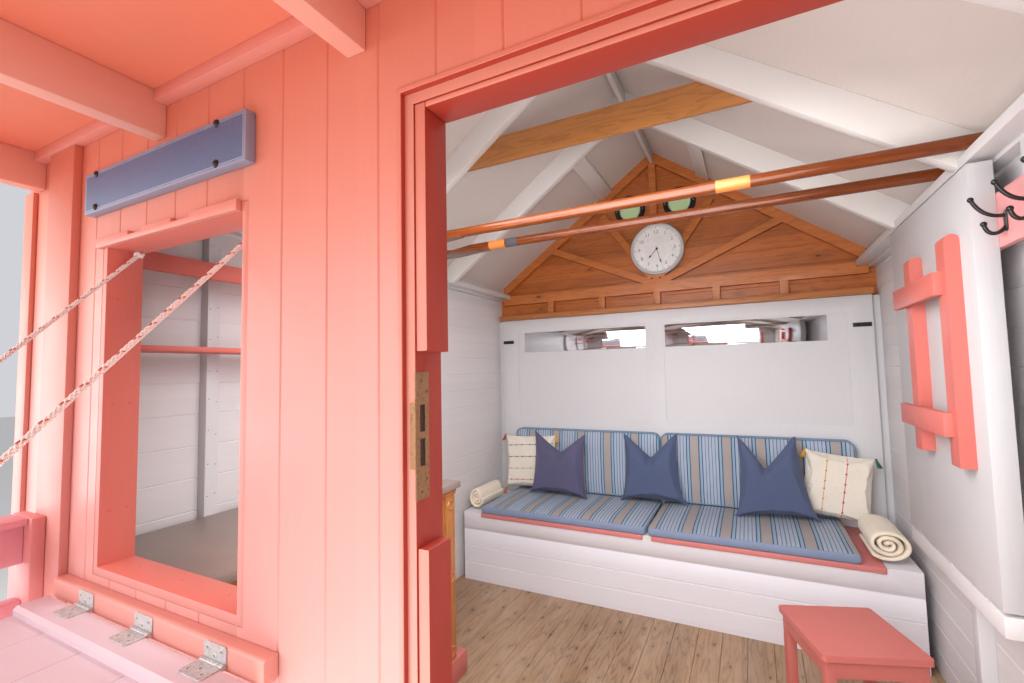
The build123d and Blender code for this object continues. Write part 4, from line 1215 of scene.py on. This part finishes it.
def add_screw(shape, at, normal, radius, height, turn, slot_material=1, head_material=0):
    """A low round screw head with a cross slot in another material."""
    before = set(shape.faces)
    add_dome(shape, at, normal, radius, height, 12)
    paint_new(shape, before, head_material)
    before = set(shape.faces)
    top = Matrix.Translation(Vector(at) + Vector(normal) * height * 0.75) @ facing(normal)
    for angle in (turn, turn + pi / 2):
        bar = Matrix.Rotation(angle, 4, "Z") @ Matrix.Diagonal((radius * 1.3, radius * 0.22, height * 0.7, 1))
        bmesh.ops.create_cube(shape, size=1, matrix=top @ bar)
    paint_new(shape, before, slot_material)


def revolved(shape, profile, centre, axis="Y", steps=48, material=0):
    """Turns a closed outline of (radius, height along the axis) pairs round X or Y."""
    before = set(shape.faces)
    across, along = Vector((1, 0, 0)), Vector((0, 1, 0))
    if axis == "X":
        across, along = along, across
    centre = Vector(centre)
    ring = [shape.verts.new(centre + across * radius + along * height) for radius, height in profile]
    edges = [shape.edges.new((a, b)) for a, b in zip(ring, ring[1:] + ring[:1])]
    bmesh.ops.spin(shape, geom=ring + edges, cent=centre, axis=along, angle=2 * pi, steps=steps,
                   use_merge=True)
    paint_new(shape, before, material)


def bezier(start, first, second, end):
    """Ten points along a cubic curve."""
    points = []
    for i in range(10):
        t = i / 9
        weights = ((1 - t) ** 3, 3 * t * (1 - t) ** 2, 3 * t * t * (1 - t), t ** 3)
        points.append(sum((Vector(p) * w for p, w in zip((start, first, second, end), weights)), Vector()))
    return points


def sign():
    """The bare sign board, with a painted line near its edge and four dome screws."""
    low, high = corners("sign_board")
    paint = Finish("sign_paint")
    x, z = paint.axis("X"), paint.axis("Z")
    edge = (x - low.x).math("MINIMUM", high.x - x).math("MINIMUM", (z - low.z).math("MINIMUM", high.z - z))
    line = (edge > sign_line_inset) * (edge < sign_line_inset + sign_line_width)
    worn = paint.fade(paint.noise(scale=85, detail=5, rough=0.7), 0.56, 0.64)
    rubbed = paint.fade(0.006 - edge + paint.noise(scale=60) * 0.004, 0.0, 0.004)
    streak = paint.noise(grain_stretch["X"], scale=150, detail=4, rough=0.6)
    base = paint.shade(hex_colour("5f7497"), 0.88 + streak * 0.2 + paint.noise(scale=6) * 0.08)
    base = paint.mix(worn * 0.2, base, hex_colour("7d90ad"))
    base = paint.mix((line * 0.55 + rubbed * 0.35).clamp(), base, hex_colour("cdd3dd"))
    paint.put(colour=base, rough=0.5 + streak * 0.15, normal=paint.bump(streak, 0.3, 0.0008))
    shape = solid_of("sign_board")
    soften(shape, 0.0025)
    piece("sign_board_shaped", shape, [paint], ["sign_board"])
    screws = bmesh.new()
    for x in (low.x + sign_screw_left, high.x - sign_screw_right):
        for z in (low.z + sign_screw_low, high.z - sign_screw_high):
            add_dome(screws, (x, low.y, z), (0, -1, 0), 0.0085, 0.0055, 20)
    piece("sign_screws", screws, [enamel("screw_black", "1a1a1d", 0.25)])


def keep():
    """The lock keep: a screwed plate with one dark mouth, folded round the frame's front."""
    shape = solid_of("lock_keep")
    low, high = corners("lock_keep")
    front = [vert for vert in shape.verts if vert.co.y < 0.002]
    bmesh.ops.translate(shape, vec=(0, frame_recess, 0), verts=front)
    soften(shape, 0.0005, 1)
    plate_low = high.y - keep_plate_width
    # The cross slots of the screws take the dark material: painted shade.
    for z, across in ((low.z + 0.013, 0.013), (low.z + 0.031, 0.026), (high.z - 0.013, 0.013),
                      (high.z - 0.031, 0.026)):
        add_screw(shape, (high.x, plate_low + across, z), (1, 0, 0), 0.0042, 0.0009, 0.4)
    # A dark box in the plate's mouth: painted shade in the opening.
    before = set(shape.faces)
    add_box(shape, (high.x - 0.003, plate_low + 0.012, low.z + 0.035),
            (high.x - 0.0019, high.y - 0.003, high.z - 0.035))
    paint_new(shape, before, 1)
    finishes = [metal("brass", "b08d68", 0.45, 0.4, metalness=0.7), enamel("slot_shade", "33190c")]
    piece("lock_keep_shaped", shape, finishes, ["lock_keep"], smooth_angle=25)


def hinges():
    """The flap's three hinges: a leaf on the wall, a leaf on the flap and five knuckles between them."""
    zinc = metal("galvanised_steel", "d5dcdc", 0.38, 0.4, 0.3, 0.45)
    dark = enamel("slot_shadow", "3c4142")
    shape = bmesh.new()
    for low, high in parts_of("flap_hinges"):
        face_y, rim_top = high.y, low.z + hinge_radius
        barrel_y = face_y - hinge_gauge - hinge_radius + 0.001
        for box in (((low.x, face_y - hinge_gauge, rim_top - 0.001), (high.x, face_y, high.z)),
                    ((low.x, low.y, rim_top), (high.x, barrel_y, rim_top + hinge_gauge))):
            leaf = bmesh.new()
            add_box(leaf, *box)
            far = [e for e in leaf.edges if e.calc_length() < hinge_gauge * 1.2
                   and (all(v.co.z > high.z - 0.001 for v in e.verts)
                        or all(v.co.y < low.y + 0.001 for v in e.verts))]
            round_edges(leaf, far, 0.006, 4)
            soften(leaf, 0.0004, 1)
            add_mesh(shape, leaf)
        width = (high.x - low.x) / knuckle_count
        for i in range(knuckle_count):
            add_rod(shape, (low.x + i * width + 0.0004, barrel_y, rim_top),
                    (low.x + (i + 1) * width - 0.0004, barrel_y, rim_top), hinge_radius, sides=20)
        add_rod(shape, (low.x - 0.0012, barrel_y, rim_top), (high.x + 0.0012, barrel_y, rim_top), 0.0026,
                sides=12)
        for i, across in enumerate((-0.021, 0.0, 0.021)):
            x = (low.x + high.x) / 2 + across
            wall_z = rim_top + (0.023 if i != 1 else 0.012)
            add_screw(shape, (x, face_y - hinge_gauge, wall_z), (0, -1, 0), 0.0042, 0.001, 0.3 + i)
            flat_y = low.y + (0.012 if i != 1 else 0.022)
            add_screw(shape, (x, flat_y, rim_top + hinge_gauge), (0, 0, 1), 0.0042, 0.001, 0.9 + i)
    piece("flap_hinges_shaped", shape, [zinc, dark], ["flap_hinges"])


def braid_turn(pitch, radius, strand_radius, sway):
    """One turn of an eight-strand braid along +Z: four strands wound each way, over and under.

    One strand each way shows a coloured fleck on a part of the turn."""
    shape = bmesh.new()
    for hand in (1, -1):
        for strand in range(4):
            old_verts, old_faces = set(shape.verts), set(shape.faces)
            start = strand * pi / 2
            upright = Matrix.Translation((radius, 0, 0)) @ Matrix.Rotation(pi / 2, 4, "X")
            ring = bmesh.ops.create_circle(shape, cap_ends=False, segments=6, radius=strand_radius,
                                           matrix=Matrix.Rotation(start, 4, "Z") @ upright)
            bmesh.ops.scale(shape, vec=(1, 1, 1.6), verts=ring["verts"])
            edges = list({edge for vert in ring["verts"] for edge in vert.link_edges})
            bmesh.ops.spin(shape, geom=ring["verts"] + edges, cent=(0, 0, 0), axis=(0, 0, 1),
                           dvec=(0, 0, pitch / rope_steps), angle=hand * 2 * pi, steps=rope_steps)
            for vert in set(shape.verts) - old_verts:
                turn = hand * (atan2(vert.co.y, vert.co.x) - start) / (2 * pi) * pitch
                turn += round((vert.co.z - turn) / pitch) * pitch
                push = 1 + hand * sway * cos(8 * pi * turn / pitch) / radius
                vert.co.x *= push
                vert.co.y *= push
            fleck = {(1, 0): 1, (-1, 2): 2}.get((hand, strand), 0)
            for face in set(shape.faces) - old_faces:
                if (face.calc_center_median().z / pitch) % 1 < rope_fleck_share:
                    face.material_index = fleck
    core = bmesh.ops.create_circle(shape, cap_ends=False, segments=10, radius=radius - strand_radius * 0.2)
    edges = list({edge for vert in core["verts"] for edge in vert.link_edges})
    made = bmesh.ops.extrude_edge_only(shape, edges=edges)["geom"]
    bmesh.ops.translate(shape, vec=(0, 0, pitch),
                        verts=[g for g in made if isinstance(g, bmesh.types.BMVert)])
    return shape


def ropes():
    """Two taut braided ropes, with an overhand knot at each end."""
    fibres = [woven(name, code, 2600) for name, code in
              (("rope_white", "fbf8f5"), ("rope_red", "c9503f"), ("rope_fleck", "b9aca6"))]
    drum_radius, drum_height = rope_knot_drum
    for side, (low, high) in zip(("left", "right"), parts_of("hatch_ropes")):
        x = (low.x + high.x) / 2
        top = Vector((x, high.y - drum_radius, high.z - drum_height / 2))
        foot = Vector((x, low.y + drum_radius, low.z + drum_height / 2))
        along = foot - top
        count = round(along.length / rope_turn)
        shape = braid_turn(along.length / count, 0.0033, 0.00125, 0.0006)
        bmesh.ops.transform(shape, matrix=Matrix.Translation(top) @ facing(along), verts=shape.verts)
        thing = stand("rope_turn", mesh_from("rope_turn", shape))
        repeat = thing.modifiers.new("repeat", "ARRAY")
        repeat.count = count
        repeat.use_relative_offset = False
        repeat.use_constant_offset = True
        repeat.constant_offset_displace = along / count
        repeat.use_merge_vertices = True
        repeat.merge_threshold = 0.0002
        whole = finished_mesh(thing)
        bpy.data.objects.remove(thing)
        shape = bmesh.new()
        shape.from_mesh(whole)
        bmesh.ops.holes_fill(shape, edges=[edge for edge in shape.edges if edge.is_boundary], sides=0)
        for at in (top, foot):
            knot = []
            for i in range(40):
                t = i / 40 * 2 * pi
                trefoil = ((sin(t) + 2 * sin(2 * t)) * 0.0031, (cos(t) - 2 * cos(2 * t)) * 0.0031,
                           -sin(3 * t) * 0.0042)
                knot.append(at + Vector(trefoil))
            add_tube(shape, knot, 0.0037, 10, True)
        piece("hatch_rope_" + side, shape, fibres, ["hatch_ropes"], recalc=True, smooth_angle=80)


def hooks():
    """Double hooks: a long upper arm and a short lower one, on a narrow plate with two screws."""
    # The dark slot material is painted shade in the screw slots.
    finishes = [enamel("hook_iron", "141416", 0.22), enamel("screw_bright", "a9a9a6"),
                enamel("screw_slot_shade", "3a3a3a")]
    shape = bmesh.new()
    for low, high in parts_of("coat_hooks"):
        face, y, middle = high.x, (low.y + high.y) / 2, high.z - hook_reach
        plate = bmesh.new()
        add_box(plate, (face - 0.004, y - 0.009, middle - 0.030), (face, y + 0.009, middle + 0.030))
        ends = [e for e in plate.edges if abs((e.verts[0].co - e.verts[1].co).x) > 0.003]
        round_edges(plate, ends, 0.0085, 5)
        soften(plate, 0.001, 1)
        add_mesh(shape, plate)
        for arm in hook_arms:
            points = bezier(*[(face - 0.002 - reach, y, middle + rise) for reach, rise in arm])
            add_tube(shape, points, 0.0053, 12)
            bmesh.ops.create_uvsphere(shape, u_segments=14, v_segments=10, radius=hook_ball,
                                      matrix=Matrix.Translation(points[-1]))
        for rise in (-0.024, 0.024):
            add_screw(shape, (face - 0.004, y, middle + rise), (-1, 0, 0), 0.0038, 0.0012, 0.5, 2, 1)
    piece("coat_hooks_shaped", shape, finishes, ["coat_hooks"], recalc=True)


def clock():
    """A round wall clock: rim, stained dial, sixty marks, twelve numbers and three hands."""
    low, high = corners("wall_clock")
    centre = (low + high) / 2
    radius = (high.x - low.x) / 2
    back, front = high.y - centre.y, low.y - centre.y
    glass_at = front + 0.008
    face = Vector((centre.x, centre.y + glass_at + 0.001, centre.z))
    dial = Finish("clock_face")
    cloud = dial.noise(scale=14, detail=5, rough=0.6)
    stain = dial.fade(dial.noise(scale=38, detail=5, rough=0.7), 0.55, 0.70)
    base = dial.mix(stain * 0.35, dial.shade(hex_colour("efedea"), 0.78 + cloud * 0.35), hex_colour("a3a9b6"))
    dial.put(colour=base, rough=0.35 + cloud * 0.2, normal=dial.bump(cloud, 0.1, 0.0004))
    shape = bmesh.new()
    revolved(shape, ((radius - 0.022, glass_at), (radius - 0.018, front + 0.003), (radius - 0.010, front),
                     (radius - 0.004, front + 0.003), (radius, front + 0.011), (radius, back),
                     (radius - 0.03, back), (radius - 0.03, glass_at + 0.004)), centre, steps=72, material=1)
    add_rod(shape, centre + Vector((0, back, 0)), face, radius - 0.020, sides=64)
    for i in range(60):
        angle = i / 60 * 2 * pi
        width, inner = (0.0046, 0.80) if i % 5 == 0 else (0.0022, 0.83)
        before = set(shape.faces)
        middle = Vector((sin(angle), 0, cos(angle))) * (inner + mark_reach) / 2 * radius
        place = Matrix.Translation(face + Vector((0, -0.0004, 0)) + middle) @ Matrix.Rotation(angle, 4, "Y")
        size = (width, 0.0008, (mark_reach - inner) * radius, 1)
        bmesh.ops.create_cube(shape, size=1, matrix=place @ Matrix.Diagonal(size))
        paint_new(shape, before, 2)
    for number in range(1, 13):
        angle = number / 12 * 2 * pi
        add_number(shape, str(number), face + Vector((sin(angle), 0, cos(angle))) * 0.66 * radius, 0.036, 2)
    for degrees, length, width in clock_hands:
        add_hand(shape, face - Vector((0, 0.003, 0)), radians(degrees), length * radius, width, 3)
    before = set(shape.faces)
    add_dome(shape, face - Vector((0, 0.002, 0)), (0, -1, 0), 0.008, 0.004)
    paint_new(shape, before, 3)
    finishes = [dial, enamel("clock_rim", "c4c3c2"), enamel("dial_grey", "767c8a", 0.5),
                enamel("hand_black", "1d1b1c")]
    piece("wall_clock_shaped", shape, finishes, ["wall_clock"], recalc=True)


def add_number(shape, text, place, size, material):
    """A plain number, standing a little proud of a face that looks along -Y."""
    curve = bpy.data.curves.new("number", "FONT")
    curve.body = text
    curve.size = size
    curve.extrude = 0.0004
    curve.align_x = "CENTER"
    curve.align_y = "CENTER"
    thing = bpy.data.objects.new("number", curve)
    mesh = bpy.data.meshes.new_from_object(thing)
    mesh.transform(Matrix.Translation(place) @ Matrix.Rotation(pi / 2, 4, "X"))
    before = set(shape.faces)
    shape.from_mesh(mesh)
    paint_new(shape, before, material)
    bpy.data.objects.remove(thing)
    bpy.data.curves.remove(curve)


def add_hand(shape, centre, angle, length, width, material):
    """A clock hand that narrows to its tip, with a swelling near the end of the wider ones."""
    before = set(shape.faces)
    turn = Matrix.Translation(centre) @ Matrix.Rotation(angle, 4, "Y")
    for vert in bmesh.ops.create_cube(shape, size=1)["verts"]:
        tip = vert.co.z > 0
        vert.co.x *= width * (0.35 if tip else 1)
        vert.co.y *= 0.001
        vert.co.z = length if tip else -0.13 * length
        vert.co = turn @ vert.co
    if width > 0.003:
        swelling = Matrix.Diagonal((width * 1.15, 0.0007, length * 0.12, 1))
        place = turn @ Matrix.Translation((0, 0, length * 0.80)) @ swelling
        bmesh.ops.create_uvsphere(shape, u_segments=12, v_segments=8, radius=1, matrix=place)
    paint_new(shape, before, material)


def portholes():
    """Black flanges through the back wall, each with a bright inner ring, six screws and a pane."""
    finishes = [enamel("porthole_black", "121214", 0.25), metal("porthole_bright", "c9c9c4", 0.25, 0.15)]
    shape, panes = bmesh.new(), bmesh.new()
    wall_low, wall_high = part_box("back_wall")
    for low, high in parts_of("portholes"):
        centre = Vector(((low.x + high.x) / 2, wall_low[1], (low.z + high.z) / 2))
        outer = (high.x - low.x) / 2
        front, back = low.y - wall_low[1], wall_high[1] - wall_low[1]
        glass = porthole_glass
        revolved(shape, ((glass, front + 0.008), (glass + 0.004, front + 0.002), (glass + 0.010, front),
                         (outer - 0.008, front), (outer - 0.002, front + 0.004), (outer, front + 0.010),
                         (outer, 0), (porthole_sleeve, 0), (porthole_sleeve, back), (glass, back)), centre)
        revolved(shape, ((glass - 0.003, front + 0.009), (glass, front + 0.005),
                         (glass + 0.0035, front + 0.0065), (glass + 0.001, front + 0.012),
                         (glass - 0.003, front + 0.012)), centre, material=1)
        for i in range(6):
            angle = (i + 0.5) / 6 * 2 * pi
            at = centre + Vector((sin(angle) * (outer - 0.016), front, cos(angle) * (outer - 0.016)))
            before = set(shape.faces)
            add_dome(shape, at, (0, -1, 0), 0.004, 0.002, 10)
            paint_new(shape, before, 1)
        add_rod(panes, centre + Vector((0, 0.006, 0)), centre + Vector((0, 0.011, 0)), glass + 0.0005,
                sides=48)
    piece("portholes_shaped", shape, finishes, ["portholes"], recalc=True)
    piece("porthole_panes", panes, [clear_glass("pane_glass")])


def bolts():
    """A barrel bolt on each side: plate, shoot in three keeps, bent knob and four screws."""
    finishes = [enamel("bolt_iron", "18181b"), enamel("bolt_slot", "55555a")]
    shape = bmesh.new()
    for low, high in parts_of("panel_bolts"):
        z, shoot_y, plate_y = (low.z + high.z) / 2, low.y + 0.0055, high.y - bolt_gauge
        plate = bmesh.new()
        add_box(plate, (low.x, plate_y, low.z), high)
        soften(plate, 0.0012, 2)
        add_mesh(shape, plate)
        inward, tail = (1, low.x) if low.x < 0 else (-1, high.x)
        add_rod(shape, (tail + inward * 0.002, shoot_y, z), (tail + inward * 0.092, shoot_y, z), 0.004)
        for step in (0.018, 0.046, 0.074):
            start, end = tail + inward * step - 0.006, tail + inward * step + 0.006
            add_rod(shape, (start, shoot_y + 0.0005, z), (end, shoot_y + 0.0005, z), 0.0062)
            add_box(shape, (start, high.y - 0.005, low.z + 0.004), (end, high.y - 0.002, high.z - 0.004))
        knob = tail + inward * 0.060
        add_rod(shape, (knob, shoot_y, z), (knob, shoot_y + 0.001, z - 0.011), 0.003, sides=10)
        for x in (low.x + 0.008, high.x - 0.008):
            for up in (-0.009, 0.009):
                add_screw(shape, (x, plate_y, z + up), (0, -1, 0), 0.0026, 0.0008, 0.2)
    piece("panel_bolts_shaped", shape, finishes, ["panel_bolts"])


def oars():
    """Varnished oars, with a copper band on each and a dark whipping on one."""
    finishes = [bare_pine("oar_varnish", "743714", "X", gloss=0.12, knot_scale=2.2),
                enamel("oar_copper", "dd7e3c", 0.25), woven("oar_tape", "45434a", 1500)]
    shape = solid_of("oars")
    soften(shape, 0.004, 2, 40)
    for (low, high), bands in zip(parts_of("oars"), oar_bands):
        y, z = (low.y + high.y) / 2, low.z + oar_radius
        for start, end, index in bands:
            before = set(shape.faces)
            add_rod(shape, (start, y, z), (end, y, z), oar_radius + 0.0008, sides=32)
            paint_new(shape, before, index)
    piece("oars_shaped", shape, finishes, ["oars"])


def kitchen():
    """The cupboard: raised door panels, pilasters with a turned rosette, and a moulded cap."""
    pine = bare_pine("kitchen_pine", "b8763c", "Z", knot_scale=6)
    low, high = corners("kitchen_unit")
    shape = solid_of("kitchen_unit")
    doors = [face for face in shape.faces if face.normal.x > 0.9 and face.calc_area() > 0.2
             and high.x - 0.006 < face.calc_center_median().x + 0.004 < high.x + 0.004]
    soften(shape, 0.002)
    for face in doors:
        if face.is_valid:
            for border, depth in ((0.055, 0), (0.010, -0.006), (0.018, 0.005)):
                bmesh.ops.inset_individual(shape, faces=[face], thickness=border, depth=depth)
    cap = high.z - kitchen_cap
    rosette = ((0.0, 0.004), (0.006, 0.0035), (0.009, 0.0015), (0.014, 0.0015), (0.018, 0.005),
               (0.023, 0.005), (0.027, 0.0), (0.027, -0.002), (0.0, -0.002))
    for y in (low.y + kitchen_pilaster / 2, high.y - kitchen_pilaster / 2):
        for z in (low.z + 0.045, (low.z + cap) / 2, cap - 0.045):
            revolved(shape, rosette, (high.x, y, z), "X", 28)
    for rise, reach in ((0.006, 0.006), (0.020, 0.010)):
        add_rod(shape, (high.x, low.y, cap + rise), (high.x, high.y, cap + rise), reach, sides=16)
    piece("kitchen_unit_shaped", shape, [pine], ["kitchen_unit"])


def nails():
    """Small nail heads where the inner wall boards meet the studs, and painted screws in the hatch lining."""
    heads = bmesh.new()
    for low, high in parts_of("wall_studs"):
        if high.x > 0 or low.y > 2.2 or high.y < 0.1 or high.x - low.x > 0.06:
            continue
        z = floor_z + 0.03
        while z < high.z:
            for y in (low.y + 0.010, high.y - 0.010):
                at = Matrix.Translation((high.x, y, z + chance.uniform(-0.01, 0.01)))
                bmesh.ops.create_icosphere(heads, subdivisions=1, radius=0.0022, matrix=at)
            z += board_pitch
    piece("stud_nails", heads, [enamel("nail_grey", "6d6a68", 0.5)])
    screws = bmesh.new()
    low, high = corners("hatch_frame")
    for share in (0.18, 0.5, 0.82):
        for y in (0.022, 0.060):
            at = (low.x + hatch_lining, y, low.z + (high.z - low.z) * share)
            add_dome(screws, at, (1, 0, 0), 0.0045, 0.0012, 12)
    for share in (0.2, 0.5, 0.8):
        at = (low.x + (high.x - low.x) * share, 0.045, low.z + hatch_lining)
        add_dome(screws, at, (0, 0, 1), 0.0045, 0.0012, 12)
    piece("lining_screws", screws, [painted("screw_paint", "e0766b", "Z")])


camera()
studio()
timber_pieces()
boarded()
soft_goods()
sign()
keep()
hinges()
ropes()
hooks()
clock()
portholes()
bolts()
oars()
kitchen()
nails()
